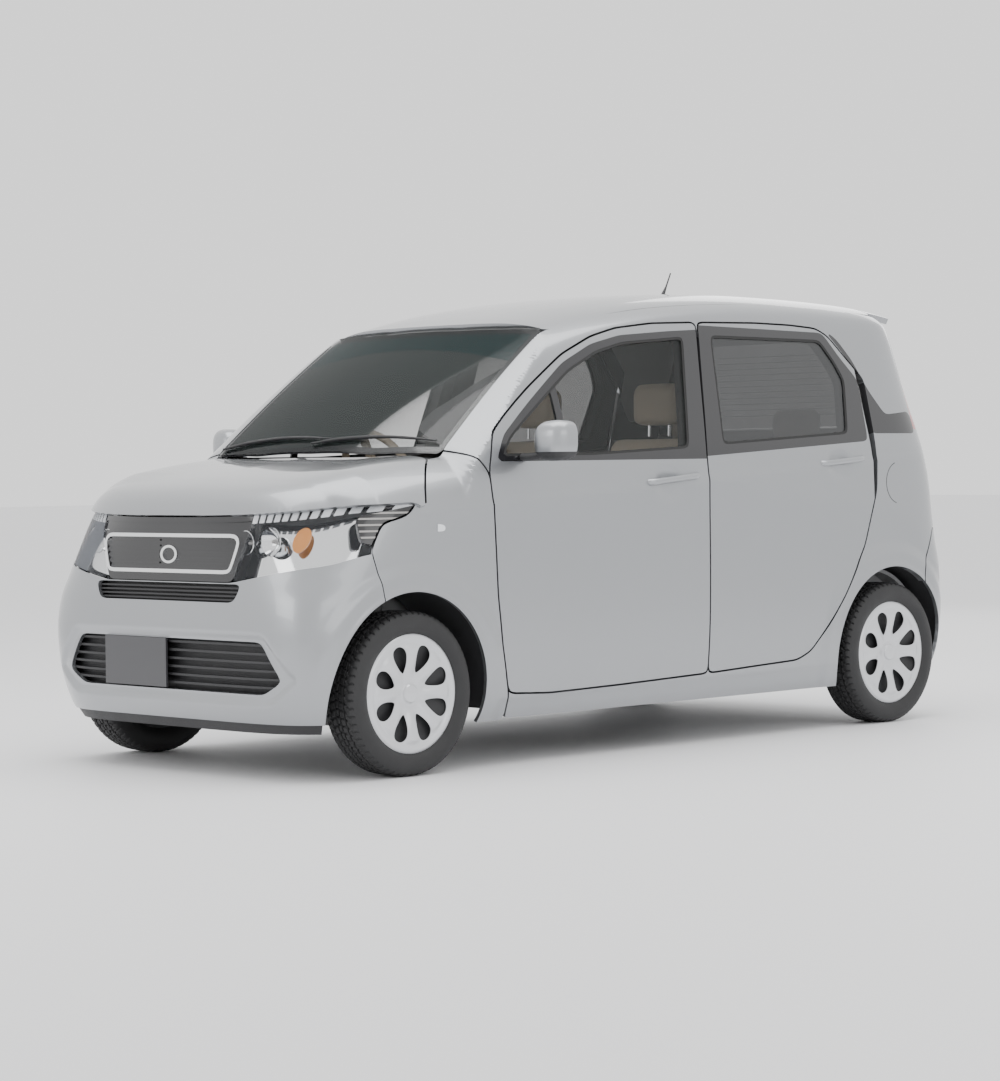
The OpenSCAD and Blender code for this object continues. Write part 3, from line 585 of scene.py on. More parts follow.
sideTests = [outline(sideLine, -gap), outside(outline(frontDoor, gap)), outside(outline(rearDoor, gap)),
             edgeOfRoof,
             frontArch, rearArch, above(bodySizes["sillFoot"]), outside(outline(rearFoot, gap)), clearOfGate]
sideWhole = cut(sheet(skin, (-1900, 1012), (150, 1650), (bodySizes["step"], 9)), *sideTests)
bandTest, stripTest, lampTest = outline(blackBand), outline(pillarStrip, 3), outline(tailLamp, 0, alongX)


def lampArea(v):
    return np.maximum(lampTest(v), v[:, 0] - bodySizes["lampStart"])


def pillarArea(v):
    return np.minimum(bandTest(v), stripTest(v))


sidePaint = cut(sideWhole, outside(lampArea), outside(pillarArea))
pair("BodySide", sidePaint, "body", [paint, underPaint, paint], bodySizes["sideWall"], ["left_body_side"])
pillarTrim = cut(sideWhole, outside(lampArea), pillarArea)
pair("RearPillarTrim", pillarTrim, "body", [glossBlack, blackPlastic, blackPlastic], bodySizes["trimWall"])
pair("TailLamp", cut(sideWhole, lampArea), "body", [lampRed, blackPlastic, lampRed], bodySizes["lampWall"])
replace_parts(bpy.data.objects["leftTailLamp"], "tail_lamps")


def roofTop(u, w):
    return u, w, roofZ(u, w)


roof = cut(sheet(roofTop, (-1385, 510), (-552, 552), 18), outline(roofPlan, -0.5, alongZ, 1))
piece("roofPanel", roof, "body", [paint, trimBeige, paint], bodySizes["roofWall"], ["roof_panel"])


def screenTop(u, w):
    return u, w, screenZ(u, w) + 1


screen = cut(sheet(screenTop, (430, 1050), (-596, 596), 18), outline(screenPlan, -1, alongZ, 1))
piece("windscreenGlass", screen, "body", clearGlass, bodySizes["screenWall"], ["windscreen"])


def underScreen(u, w):
    return u, w, screenZ(u, w) - bodySizes["borderDepth"]


screenBorder = cut(sheet(underScreen, (430, 1050), (-596, 596), 12), outline(screenPlan, -1, alongZ, 1),
                   outside(outline(screenPlan, -bodySizes["borderWidth"], alongZ, 2)))
piece("screenBorder", screenBorder, "body", glossBlack, 2)

bandFilm = cut(sheet(underScreen, (430, 640), (-596, 596), 12),
               outline(screenPlan, -bodySizes["borderWidth"] - 1, alongZ, 2),
               lambda v: v[:, 0] - bodySizes["bandEnd"])
piece("screenBand", bandFilm, "body", tintBand, 1.5)



frontSizes = {"wall": 14, "wingTop": 882, "recess": 15, "bulge": 1, "bulgeHeight": 512, "lipDepth": 8,
              "lipWall": 16}


def bonnetTop(u, w):
    return u, w, bonnetZ(u, w)


bonnet = cut(sheet(bonnetTop, (1045, 1676), (-738, 738), (9, 9)), outline(bonnetLineTop, -gap, alongZ, 1),
             outside(outline(lampTop, gap)), above(840))
piece("bonnetPanel", bonnet, "bonnet", [paint, underPaint, paint], frontSizes["wall"], ["bonnet"],
      centre=(1000, 0, 300))


bonnetPlan = outline(bonnetLineTop, gap, alongZ, 1)
wing = cut(sheet(skin, (780, 1700), (150, 1100), (12, 7)), outline(wingLine, -gap), frontArch,
           lambda v: np.where(v[:, 2] > frontSizes["wingTop"], -bonnetPlan(v), wellInside),
           lambda v: screenEdge(v[:, 0]) + 1 - np.abs(v[:, 1]))
pair("FrontWing", wing, "body", [paint, underPaint, paint], frontSizes["wall"])
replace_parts(bpy.data.objects["leftFrontWing"], "front_wings")


def nose(depth=0.0):
    # the nose from one side to the other: s runs from the right to the left
    def at(s, z):
        x, y, z = skin(2437 - np.abs(s), z)
        return x, y * np.sign(s + 1e-9), z
    return shifted(at, depth) if depth else at


def noseWithRecess(s, z):
    x, y, z = nose()(s, z)
    flat = np.stack([x.ravel(), y.ravel(), (z + 0 * x).ravel()], 1)
    inward = ramp(-outline(mouthEdge, 0, alongX)(flat), -4, 26).reshape(x.shape)
    bulge = ramp(np.abs(z - frontSizes["bulgeHeight"]), 60, 20) * frontSizes["bulge"]
    return x - frontSizes["recess"] * inward + bulge, y, z


bumper = cut(sheet(noseWithRecess, (-1100, 1100), (180, 800), (8, 8)), outline(bumperFoot, -0.3),
             outline(bumperFront, -2, alongX), outside(outline(mouth, 0, alongX)),
             outside(outline(duct, 0, alongX)),
             frontArch, above(186))
piece("frontBumper", bumper, "body", [paint, blackPlastic, paint], frontSizes["wall"], ["front_bumper"])
lip = cut(sheet(nose(frontSizes["lipDepth"]), (-1100, 1100), (150, 195), (14, 8)),
          outline(bumperFoot, -0.3), frontArch)
piece("frontLip", lip, "body", blackPlastic, frontSizes["lipWall"])


def tail(depth=0.0):
    # the tail from one side to the other
    def at(s, z):
        x, y, z = skin(-2537 + np.abs(s), z)
        return x, y * np.sign(s + 1e-9), z
    return shifted(at, depth) if depth else at


rearSizes = {"bumperWall": 14, "gateWall": 34, "spoilerWall": 24, "glassDepth": 4, "glassWall": 5,
             "garnish": 8,
             "wires": (1180, 1460, 24), "wireDepth": 11, "wireHalf": 1.2, "plateDepth": -3}
rearBumper = cut(sheet(tail(), (-1250, 1250), (200, 760), (12, 9)), outline(rearFoot, -gap),
                 outside(outline(gate, gap, alongX)), rearArch, above(210))
piece("rearBumper", rearBumper, "body", [paint, blackPlastic, paint], rearSizes["bumperWall"],
      ["rear_bumper"])
gateOuter = cut(sheet(tail(), (-900, 900), (555, 1640), (12, 9)), outline(gate, -gap, alongX),
                outside(outline(gateGlass, 0, alongX)), lambda v: v[:, 2] - roofZ(v[:, 0], v[:, 1]))
piece("tailgatePanel", gateOuter, "tailgate", [paint, trimDark, paint], rearSizes["gateWall"], ["tailgate"])
spoiler = cut(sheet(roofTop, (-1570, -1388.5), (-560, 560), 10), lambda v: np.abs(v[:, 1]) - 522,
              lambda v: -v[:, 0] - tailEnd(v[:, 2]) - 8)
piece("roofSpoiler", spoiler, "tailgate", [paint, trimDark, paint], rearSizes["spoilerWall"])
rearPane = cut(sheet(tail(rearSizes["glassDepth"]), (-900, 900), (1140, 1510), 14),
               outline(gateGlass, -0.5, alongX))
piece("tailgateGlass", rearPane, "tailgate", darkGlass, rearSizes["glassWall"], ["tailgate_glass"])
garnish = cut(sheet(tail(-6), (-900, 900), (1040, 1090), 12),
              outline([(420, 1046), (420, 1084), (-420, 1084), (-420, 1046)], 0, alongX))
piece("tailgateGarnish", garnish, "tailgate", chrome, rearSizes["garnish"])
for i, z in enumerate(np.arange(*rearSizes["wires"])):
    half = rearSizes["wireHalf"]
    wire = cut(sheet(tail(rearSizes["wireDepth"]), (-900, 900), (z - half, z + half), (20, half)),
               outline(gateGlass, -34, alongX))
    if len(wire[1]):  # the lowest wires fall outside the glass
        piece("defroster%d" % i, wire, "tailgate", steelDull, 1)
plate = cut(sheet(tail(rearSizes["plateDepth"]), (-900, 900), (850, 1040), 9),
            outline([(165, 862), (165, 1027), (-165, 1027), (-165, 862)], 0, alongX))
piece("rearPlate", plate, "tailgate", plateBlack, 3)
print("body panels made")

# grille and lamps
grille = cut(sheet(nose(10), (-620, 620), (600, 900), 9), outline(face, -0.5, alongX), below(846))
piece("grillePanel", grille, "body", glossBlack, 12, ["grille"])
rim = cut(sheet(nose(-1), (-620, 620), (640, 830), 6), outline(grilleRim, 0, alongX),
          outside(outline(grilleRim, -12, alongX)))
piece("grilleFrame", rim, "body", chrome, 14)


def badgeReach(v):
    return np.hypot(v[:, 1] / 44, (v[:, 2] - 728) / 30) * 30


badge = cut(sheet(nose(2), (-90, 90), (660, 790), 5), lambda v: badgeReach(v) - 30,
            lambda v: 22 - badgeReach(v))
piece("grilleBadge", badge, "body", chrome, 10)
for i, z in enumerate(np.linspace(700, 775, 5)):
    slat = cut(sheet(nose(6), (-560, 560), (z - 3, z + 3), (14, 3)), outline(grilleRim, -14, alongX),
               lambda v: 52 - np.abs(v[:, 1]))
    piece("grilleSlat%d" % i, slat, "body", glossBlack, 5)
for i, z in enumerate(np.arange(584, 636, 13)):
    slat = cut(sheet(nose(12), (-560, 560), (z - 3, z + 3), (14, 3)), outline(duct, 4, alongX))
    piece("ductSlat%d" % i, slat, "body", blackPlastic, 10)
for i, z in enumerate(np.arange(300, 450, 28)):
    bar = cut(sheet(nose(26), (-800, 800), (z - 4, z + 4), (14, 4)), outline(mouth, 6, alongX))
    piece("mouthBar%d" % i, bar, "body", blackPlastic, 12)
mouthBack = cut(sheet(nose(52), (-900, 900), (240, 650), 16), outline(mouthEdge, 10, alongX))
piece("mouthBack", mouthBack, "body", blackPlastic, 4)
ductBack = cut(sheet(nose(46), (-900, 900), (560, 650), 12), outline(duct, 12, alongX))
piece("ductBack", ductBack, "body", blackPlastic, 4)


def lampShape(v):
    return np.maximum(outline(lampFront, -2, alongX)(v), outline(lampSide, -gap)(v))


lampBelow = outline(lampTop, -gap)
leftNose = (0.1, 1500)  # the part of the nose that the left lamp is on
lens = cut(sheet(nose(3), leftNose, (600, 900), 8), lampShape, lampBelow)
bezel = cut(sheet(nose(60), leftNose, (600, 900), 10), outline(lampFront, 6, alongX), outline(lampSide, 4),
            outline(lampTop, 2))
strip = outline([(1100, 905), (1221, 880), (1450, 868), (1600, 846), (1760, 812), (1760, 900)], 0)
finArea = outline([(1100, 900), (1221, 884), (1440, 850), (1440, 760), (1100, 760)], 0)
pair("LampLens", cut(lens, outside(finArea)), "body", lampGlass, 3)
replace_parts(bpy.data.objects["leftLampLens"], "headlamps")
pair("LampBezel", bezel, "body", [chrome, blackPlastic, glossBlack], 4)
fins = cut(sheet(nose(2), leftNose, (740, 900), 8), lampShape, lampBelow, finArea)
pair("LampEnd", fins, "body", glossBlack, 20)
for i, z in enumerate((782, 802, 822, 842, 860)):
    bar = cut(sheet(nose(-1), leftNose, (z - 3, z + 3), (8, 3)), lampShape, lampBelow, finArea)
    if len(bar[1]):
        pair("LampFin%d" % i, bar, "body", steelDull, 5)
ledStrip = cut(sheet(nose(6), leftNose, (790, 900), 7), lampShape, lampBelow, strip)
pair("LampStrip", ledStrip, "body", glossBlack, 6)
topBand = cut(sheet(nose(6), (-700, 700), (790, 900), 8), outline(face, -1, alongX), lampBelow, strip)
piece("grilleTopBand", topBand, "body", glossBlack, 8)
ledCells = cut(sheet(nose(4), leftNose, (790, 900), 4), lampShape, lampBelow,
               outline([(1150, 893), (1221, 873), (1450, 860), (1600, 838), (1700, 818), (1700, 850),
                        (1450, 880)], 0),
               lambda v: np.abs(np.abs(v[:, 1]) % 26 - 13) - 9)
pair("LampLeds", ledCells, "body", lensWhite, 3)
lampSizes = {"bowls": ((368, 768, 40), (462, 772, 48)), "bowlDepth": 30, "amber": (556, 776, 24, 40),
             "bulb": 9,
             "bulbBack": 24, "bulbReach": 20}


def lampPlace(y, z, depth):
    # how far forward the nose is at y and z, that depth under its skin
    s = np.linspace(0.1, 1400, 700)
    x, across, _ = nose(depth)(s, np.full_like(s, z))
    return float(x[np.argmin(np.abs(across - y))])


for i, (y, z, r) in enumerate(lampSizes["bowls"]):
    x = lampPlace(y + r, z, 6) - 6
    bowl = sheet(lambda a, b: (x - lampSizes["bowlDepth"] * (1 - (b / r) ** 2), y + b * np.cos(a),
                               z + b * np.sin(a)), (0, 2 * np.pi), (9, r), (np.pi / 24, 5))
    pair("LampBowl%d" % i, bowl, "body", chrome, 2, centre=(x + 4000, y, z))
    root = x - lampSizes["bulbBack"]
    bulb = sheet(lambda a, b: (root + lampSizes["bulbReach"] * np.sqrt(np.maximum(0,
                                                                                  1 - (b / lampSizes["bulb"]) ** 2)),
                               y + b * np.cos(a), z + b * np.sin(a)),
                 (0, 2 * np.pi), (0.1, lampSizes["bulb"]), (np.pi / 12, 1.5))
    pair("LampBulb%d" % i, bulb, "body", steelDull, 2)
y, z, wide, high = lampSizes["amber"]
amberLens = cut(sheet(nose(30), leftNose, (700, 860), 6),
                lambda v: np.hypot((np.abs(v[:, 1]) - y) / wide, (v[:, 2] - z) / high) * 20 - 20)
pair("LampAmber", amberLens, "body", amber, 6)
print("front made")

# floor, light
lightSettings = {"world": (1.0, 1.0, 1.0), "worldPower": 1.35,
                 "boxes": (("top", (0.5, 0.5, 5.5), (0, 0, 0), 7.0, 4.5, 260),
                           ("side", (1.5, 8.5, 3.2), (0.2, 0, 0.8), 7.0, 2.2, 60),
                           ("nose", (9.0, -1.5, 3.4), (1.2, 0, 0.8), 4.0, 3.0, 90),
                           ("tail", (-8.0, -3.0, 4.0), (-1.2, 0, 0.8), 5.0, 3.0, 90))}
world = bpy.context.scene.world or bpy.data.worlds.new("studio")
bpy.context.scene.world = world
world.use_nodes = True
backdrop = world.node_tree.nodes["Background"]
backdrop.inputs["Color"].default_value = (*lightSettings["world"], 1)
backdrop.inputs["Strength"].default_value = lightSettings["worldPower"]
for lightName, place, aim, wide, high, power in lightSettings["boxes"]:
    bpy.ops.object.light_add(type="AREA", location=place)
    lamp = bpy.context.object
    lamp.name = lightName + "Light"
    lamp.data.shape, lamp.data.size, lamp.data.size_y, lamp.data.energy = "RECTANGLE", wide, high, power
    lamp.rotation_euler = (Vector(aim) - Vector(place)).to_track_quat("-Z", "Y").to_euler()
floorFinish = Finish("paleFloor", (0.86, 0.86, 0.87), 0.55).vary(0.5, 0.06)
bpy.ops.mesh.primitive_plane_add(size=120, location=(0, 0, 0))
floorPlane = bpy.context.object
floorPlane.name = "floor"
floorPlane.data.materials.append(floorFinish.material)
bpy.ops.object.transform_apply(location=True, rotation=True, scale=True)

# wheels and tyres
wheelSizes = {"front": 1247.5, "rear": -1272.5, "track": 652.5, "height": 270.0, "cover": 196.0, "spokes": 8,
              "opening": 119, "openingHalf": 46, "openingWide": 26, "openingSpread": 0.28, "lift": 5}
treadSizes = {"blocks": 62, "depth": 5.0, "slot": 0.2, "lean": 0.004, "groove": 262, "edge": 68}
linerSizes = {"reach": 338, "clear": 16, "front": 470, "rear": 560, "outer": 722}


def turned(profile, around=96, wave=None):
    # a closed profile of (radius, height) pairs, turned about Y
    p = np.array(profile, float)
    angles = np.linspace(0.0, 2 * np.pi, around, endpoint=False)
    r, h = p[:, 0][None, :] + 0 * angles[:, None], p[:, 1][None, :] + 0 * angles[:, None]
    if wave is not None:
        r, h = wave(r, h, angles[:, None])
    points = np.stack([r * np.cos(angles[:, None]), h, r * np.sin(angles[:, None])], -1).reshape(-1, 3)
    n, m = len(p), len(angles)
    i = np.arange(n * m).reshape(m, n)
    a, b = i, np.roll(i, -1, 0)
    c, d = np.roll(a, -1, 1), np.roll(b, -1, 1)
    faces = np.concatenate([np.stack([a.ravel(), c.ravel(), d.ravel()], 1),
                            np.stack([a.ravel(), d.ravel(), b.ravel()], 1)])
    return points, faces


def atWheels(name, mesh, finishes, thick=0.0, nodes=None, **more):
    # the same piece on all four wheels, mirrored on the right
    for end in ("front", "rear"):
        for side, k in (("left", 1), ("right", -1)):
            p, f = mesh
            p = p * (1, k, 1) + (wheelSizes[end], k * wheelSizes["track"], wheelSizes["height"])
            f = f if k == 1 else f[:, ::-1]
            c = (wheelSizes[end], k * (wheelSizes["track"] - 3000), wheelSizes["height"])
            body = side + "_" + end + "_wheel"
            piece(side + end.title() + name, (p, f), body, finishes, thick,
                  [side + "_" + end + "_" + nodes] if nodes else (), centre=c, **more)


coverHeight = curve((0, 60), (26, 60), (34, 54), (60, 57), (120, 66), (150, 68), (168, 66), (176, 70),
                    (190, 69), (196, 64))


def coverTop(r, a):
    spoke = np.cos(wheelSizes["spokes"] * a)  # spokes stand where this is one
    lift = wheelSizes["lift"] * spoke * ramp(r, 40, 90) * ramp(r, 172, 150)
    return r * np.cos(a), coverHeight(r) + lift, r * np.sin(a)


def petal(v):
    # the openings between the spokes
    r, a = np.hypot(v[:, 0], v[:, 2]), np.arctan2(v[:, 2], v[:, 0])
    off = (a + np.pi / 8) % (np.pi / 4) - np.pi / 8
    off = np.where(off > 0, off - np.pi / 8, off + np.pi / 8)
    along, across = r * np.cos(off) - wheelSizes["opening"], r * np.sin(off)
    wide = wheelSizes["openingWide"] + wheelSizes["openingSpread"] * along
    return np.hypot(along / wheelSizes["openingHalf"], across / wide) * 15 - 15


coverSheet = cut(sheet(coverTop, (0.5, wheelSizes["cover"]), (0, 2 * np.pi), (5, 2 * np.pi / 160)),
                 outside(petal))
atWheels("WheelCover", coverSheet, wheelSilver, 4, "wheel", smooth=40)
rimProfile = [(40, 20), (40, 34), (150, 44), (160, 50), (184, 60), (184, 56), (172, 48), (170, -48),
              (184, -56),
              (184, -60), (160, -58), (158, 36), (150, 32)]
atWheels("WheelRim", turned(rimProfile, 96), blackPlastic)
brakeProfile = [(20, 10), (112, 10), (118, 4), (118, -6), (20, -6)]
atWheels("BrakeDisc", turned(brakeProfile, 64), steelDull)
capProfile = [(0.5, 54), (30, 54), (31, 59), (27, 63), (12, 64.5), (0.5, 65)]
atWheels("WheelCap", turned(capProfile, 48), wheelSilver)

tyreHalf = [(177, 50), (187, 57), (197, 66), (210, 74), (226, 77.5), (240, 76.5), (250, 74), (258, 70),
            (263, 65),
            (266.5, 60), (268, 55), (268.6, 50), (269, 44), (269.3, 38), (269.5, 36), (263, 34.5),
            (263, 30.5),
            (269.6, 29), (269.8, 22), (270, 14), (270, 12), (263, 10.5), (263, 6.5), (270, 5)]
tyreProfile = tyreHalf + [(r, -h) for r, h in tyreHalf[::-1]]


def tread(r, h, a):
    # slots between the tread blocks, set off from row to row
    t = treadSizes
    row = np.where(np.abs(h) > 38, 0.0, np.where(np.abs(h) > 10, 0.5, 0.25))
    slot = ((a * t["blocks"] / (2 * np.pi) + row + np.abs(h) * t["lean"]) % 1) < t["slot"]
    return r - np.where(slot & (r > t["groove"]) & (np.abs(h) < t["edge"]), t["depth"], 0.0), h


atWheels("Tyre", turned(tyreProfile, 310, wave=tread), rubber, 0, "tyre", smooth=28)
for end in ("front", "rear"):
    x0, reach = wheelSizes[end], linerSizes["reach"]
    liner = sheet(lambda a, y: (x0 + reach * np.cos(a), y + 0 * a, wheelSizes["height"] + reach * np.sin(a)),
                  (math.radians(-12), math.radians(192)), (linerSizes[end], linerSizes["outer"]), (0.06, 12))
    liner = cut(liner, lambda v: np.abs(v[:, 1]) - bodyHalf(v[:, 0], v[:, 2]) + linerSizes["clear"])
    pair(end.title() + "ArchLiner", liner, "body", blackPlastic, 4, centre=(x0, 600, 4000))
print("wheels made")


# mirrors, handles, small outside pieces
def rounded(centre, size, square, rows, lean):
    # a closed form between a ball and a box
    u, w = np.meshgrid(np.linspace(0, 2 * np.pi, rows * 2, endpoint=False),
                       np.linspace(-np.pi / 2 + 0.03, np.pi / 2 - 0.03, rows), indexing="ij")
    d = np.stack([np.cos(w) * np.cos(u), np.cos(w) * np.sin(u), np.sin(w)], -1)
    d = d * (np.abs(d) ** square).sum(-1, keepdims=True) ** (-1 / square)
    points = (d * size).reshape(-1, 3)
    points = lean(points) + centre
    n, m = u.shape
    i = np.arange(n * m).reshape(n, m)
    a, b = i[:, :-1], np.roll(i, -1, 0)[:, :-1]
    c, e = i[:, 1:], np.roll(i, -1, 0)[:, 1:]
    faces = np.concatenate([np.stack([a.ravel(), b.ravel(), e.ravel()], 1),
                            np.stack([a.ravel(), e.ravel(), c.ravel()], 1)])
    caps = [(i[k, 0], i[0, 0], i[(k + 1) % n, 0]) for k in range(1, n - 1)]
    caps += [(i[0, -1], i[k, -1], i[(k + 1) % n, -1]) for k in range(1, n - 1)]
    return points, np.concatenate([faces, np.array(caps)])


def tube(points, radius, sides=12, flat=1.0):
    # a bar along a smooth path
    path = np.array(points, float)
    k = np.linspace(0, 1, len(path))
    t = np.linspace(0, 1, 8 * len(path))
    line = np.stack([curve(*zip(k, path[:, i]))(t) for i in range(3)], 1)
    r = np.interp(t, k, radius if hasattr(radius, "__len__") else [radius] * len(path))
    ahead = np.gradient(line, axis=0)
    ahead /= np.linalg.norm(ahead, axis=1, keepdims=True)
    side = np.cross(ahead, (0, 0, 1.0))
    side /= np.maximum(np.linalg.norm(side, axis=1, keepdims=True), 1e-6)
    up = np.cross(side, ahead)
    a = np.linspace(0, 2 * np.pi, sides, endpoint=False)
    across, rise = np.cos(a)[None, :, None], np.sin(a)[None, :, None] * flat
    ring = line[:, None] + (side[:, None] * across + up[:, None] * rise) * r[:, None, None]
    points = np.concatenate([ring.reshape(-1, 3), line[:1], line[-1:]])
    n, m = len(line), sides
    i = np.arange(n * m).reshape(n, m)
    p, q = i[:-1], i[1:]
    p2, q2 = np.roll(p, -1, 1), np.roll(q, -1, 1)
    faces = [np.stack([p.ravel(), q.ravel(), q2.ravel()], 1), np.stack([p.ravel(), q2.ravel(), p2.ravel()],
                                                                       1)]
    faces.append(np.array([(n * m, i[0, (k + 1) % m], i[0, k]) for k in range(m)]))
    faces.append(np.array([(n * m + 1, i[-1, k], i[-1, (k + 1) % m]) for k in range(m)]))
    return points, np.concatenate(faces)[:, ::-1]


mirrorSizes = {"centre": (700, 857.5, 1090), "size": (62, 67, 68), "square": 2.9, "rows": 30}


def mirrorLean(p):
    return p + np.stack([p[:, 1] * -0.12, 0 * p[:, 0], p[:, 1] * 0.06], 1)


mirrorForm = rounded(*mirrorSizes.values(), mirrorLean)
shell = cut(mirrorForm, lambda v: 668 - v[:, 0], above(1052))
pair("MirrorShell", shell, "left_front_door", paint, 5, ["left_mirror"], centre=(640, 857, 1080))
foot = cut(mirrorForm, lambda v: 655 - v[:, 0], below(1052))
pair("MirrorFoot", foot, "left_front_door", blackPlastic, 5, centre=(640, 857, 1080))
glassBack = cut(mirrorForm, lambda v: v[:, 0] - 668)
glassFlat = glassBack[0] * (0.1, 0.93, 0.93) + (0.9 * 664, 857.5 * 0.07, 1090 * 0.07)
pair("MirrorGlass", (glassFlat, glassBack[1]), "left_front_door", chrome, 3, centre=(760, 857, 1080))
arm = tube([(722, 716, 1036), (716, 745, 1036), (706, 790, 1044), (700, 830, 1062)], [20, 19, 18, 20], 14,
           0.7)
pair("MirrorArm", arm, "left_front_door", blackPlastic)
for name, x0, x1, z0, z1 in (("front", 116, -144, 943, 965), ("rear", -854, -1100, 1001, 1019)):
    y0 = float(sideY(np.array((x0 + x1) / 2), np.array((z0 + z1) / 2 + 30)))
    xs = np.array([x0, x0 - 8, x0 - 40, (x0 + x1) / 2, x1 + 40, x1 + 8, x1])
    zs = np.interp(xs, [x1, x0], [z1, z0])
    bar = tube(np.stack([xs, np.array([y0 - 6, y0 + 10, y0 + 19, y0 + 21, y0 + 19, y0 + 10, y0 - 6]), zs], 1),
               [12, 13, 12, 11.5, 12, 13, 12], 14, 0.95)
    pair(name.title() + "DoorHandle", bar, "left_%s_door" % name, paint)
# a black ring 2.6 mm wide, laid 0.4 mm over the skin round the fuel flap: painted shade standing in for the flap's
# gap, which is not cut into the panel
flapGapShade = cut(sheet(shifted(skin, -0.4), (-1420, -1220), (830, 1020), 5), circle(-1320, 924, 81),
           outside(circle(-1320, 924, 78.4)))
piece("fuelFlapPaintedGapShade", flapGapShade, "body", sealAndGapShadeBlack, 1)
repeater = cut(sheet(shifted(skin, -2.5), (1090, 1185), (780, 835), 4),
               outline([(1104, 794), (1168, 797), (1170, 821), (1106, 818)], 0))
pair("SideRepeater", repeater, "body", lensWhite, 5)
cowl = cut(sheet(lambda u, w: (u, w, bonnetLine(u) - bonnetDrop(np.abs(w)) - 12), (985, 1075), (-610, 610),
                 12),
           lambda v: np.abs(v[:, 1]) - 604)
piece("cowl", cowl, "body", blackPlastic, 5)
for i, (y0, y1) in enumerate(((-560, 60), (-20, 545))):
    ys = np.linspace(y0, y1, 6)
    xs = 1037 - 47 * (ys / 560) ** 2 - np.array([0, 14, 22, 26, 24, 18]) - 14
    blade = tube(np.stack([xs, ys, screenZ(xs, ys) + 12], 1), [5, 8, 8, 7, 6, 4], 8, 0.8)
    piece("wiper%d" % i, blade, "body", blackPlastic, 0, ["wipers"] if i == 0 else ())
    pivot = tube([(1046, y0, 1046), (1046, y0, 1066)], 13, 14)
    piece("wiperPivot%d" % i, pivot, "body", blackPlastic)
mast = tube([(-775, 0, 1650), (-778, 0, 1662), (-800, 0, 1700), (-826, 0, 1752)], [15, 9, 3.4, 2.6], 12)
piece("aerialMast", mast, "body", blackPlastic, 0, ["aerial"])
plate = sheet(lambda u, w: (1690 + 0 * u, u - 333, w), (0, 330), (287, 450), 20)
piece("platePanel", plate, "body", plateBlack, 8, ["front_plate"])
print("outside details made")

# seats
seatSettings = {"voxel": 0.014, "pressure": 4.0, "cap": 0.014, "shrink": 9, "bevel": 0.03, "frames": 20,
                "fill": 0.75, "smoothing": (4, 0.5)}


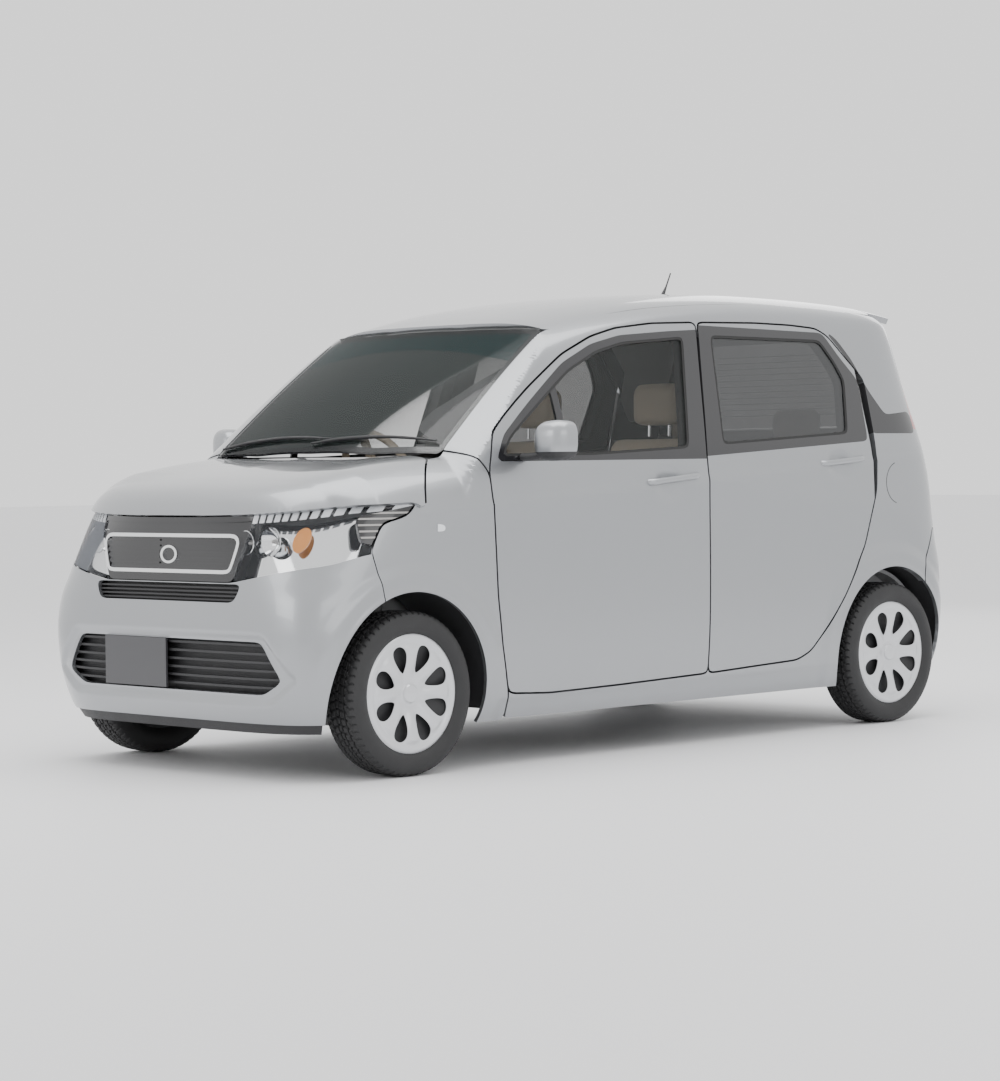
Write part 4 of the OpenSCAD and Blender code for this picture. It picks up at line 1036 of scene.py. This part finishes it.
def cushion(name, side, y0, y1):
    # a padded piece from its side view, swelled as cloth
    p = np.array(side, float)
    mid = p.mean(0)
    p = mid + (p - mid) * (1 - seatSettings["shrink"] / np.abs(p - mid).max())
    n = len(p)
    points = np.concatenate([np.stack([p[:, 0], np.full(n, y0 + seatSettings["shrink"]), p[:, 1]], 1),
                             np.stack([p[:, 0], np.full(n, y1 - seatSettings["shrink"]), p[:, 1]],
                                      1)]) * 0.001
    data = bpy.data.meshes.new(name)
    data.from_pydata(points.tolist(), [], [list(range(n)), list(range(2 * n - 1, n - 1, -1))]
                     + [[i, n + i, n + (i + 1) % n, (i + 1) % n] for i in range(n)])
    item = bpy.data.objects.new(name, data)
    bpy.context.collection.objects.link(item)
    bpy.ops.object.select_all(action="DESELECT")
    item.select_set(True)
    bpy.context.view_layer.objects.active = item
    bpy.ops.object.mode_set(mode="EDIT")
    bpy.ops.mesh.select_all(action="SELECT")
    bpy.ops.mesh.normals_make_consistent(inside=False)
    bpy.ops.mesh.bevel(offset=seatSettings["bevel"], segments=3, affect="EDGES")
    bpy.ops.object.mode_set(mode="OBJECT")
    m = item.modifiers.new("remesh", "REMESH")
    m.mode, m.voxel_size = "VOXEL", seatSettings["voxel"]
    bpy.ops.object.modifier_apply(modifier=m.name)
    start = np.array([v.co for v in item.data.vertices])
    c = item.modifiers.new("pad", "CLOTH")
    c.settings.use_pressure, c.settings.uniform_pressure_force = True, seatSettings["pressure"]
    c.settings.effector_weights.gravity = 0
    scene = bpy.context.scene
    for f in range(1, seatSettings["frames"] + 1):
        scene.frame_set(f)
    swelled = item.evaluated_get(bpy.context.evaluated_depsgraph_get()).data
    end = np.array([v.co for v in swelled.vertices])
    item.modifiers.remove(c)
    move = end - start
    far = np.linalg.norm(move, axis=1, keepdims=True)
    end = start + move * np.minimum(1, seatSettings["cap"] / np.maximum(far, 1e-9))
    item.data.vertices.foreach_set("co", end.ravel())
    scene.frame_set(1)
    m = item.modifiers.new("smooth", "SMOOTH")
    m.iterations, m.factor = seatSettings["smoothing"]
    bpy.ops.object.modifier_apply(modifier=m.name)
    bpy.ops.object.shade_smooth()
    item.data.materials.clear()
    item.data.materials.append(cloth.material)
    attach(item, "body")
    item.select_set(False)
    return item


seatBase = [(330, 480), (335, 560), (250, 598), (-60, 575), (-205, 560), (-225, 470)]
seatBack = [(-120, 570), (-235, 800), (-350, 1120), (-418, 1128), (-345, 800), (-265, 560)]
seatHead = [(-352, 1140), (-352, 1295), (-395, 1325), (-452, 1290), (-442, 1145)]
rearBase = [(-690, 460), (-670, 560), (-760, 592), (-1110, 568), (-1125, 460)]
rearBack = [(-1065, 580), (-1155, 800), (-1222, 1076), (-1288, 1082), (-1232, 800), (-1165, 500)]
rearHead = [(-1214, 1085), (-1222, 1208), (-1262, 1234), (-1306, 1205), (-1290, 1088)]
frontParts = (("SeatBase", seatBase, 80, 565), ("SeatBack", seatBack, 95, 550),
              ("Headrest", seatHead, 200, 440))
for side, k in (("left", 1), ("right", -1)):
    for part, form, a, b in frontParts:
        made = cushion(side + part, form, *sorted((k * a, k * b)))
        if side + part == "leftSeatBase":
            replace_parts(made, "front_seats")
    posts = [tube([(-398, k * y, 1110), (-400, k * y, 1160)], 6) for y in (270, 370)]
    piece(side + "HeadrestPosts", joined(*posts), "body", chrome)
    cushion(side + "RearBack", rearBack, *sorted((k * 8, k * 520)))
    cushion(side + "RearHeadrest", rearHead, *sorted((k * 150, k * 390)))
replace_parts(cushion("rearBench", rearBase, -530, 530), "rear_seat")
print("seats made")

# the solid model's own pieces keep their shapes and get finishes
ownFinishes = {"floor_pan": underPaint, "front_body": underPaint, "engine": castGrey,
               "radiator": blackPlastic,
               "exhaust": steelDull, "fuel_tank": blackPlastic, "front_suspension": castGrey,
               "rear_axle": castGrey,
               "left_knuckle": castGrey, "right_knuckle": castGrey, "dashboard": trimDark,
               "steering_column": blackPlastic, "steering_wheel": trimBeige, "interior_mirror": blackPlastic,
               "rear_wiper": blackPlastic}
for nodeName, finish in ownFinishes.items():
    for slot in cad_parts[nodeName].material_slots:
        slot.material = finish.material
print("finishes given")
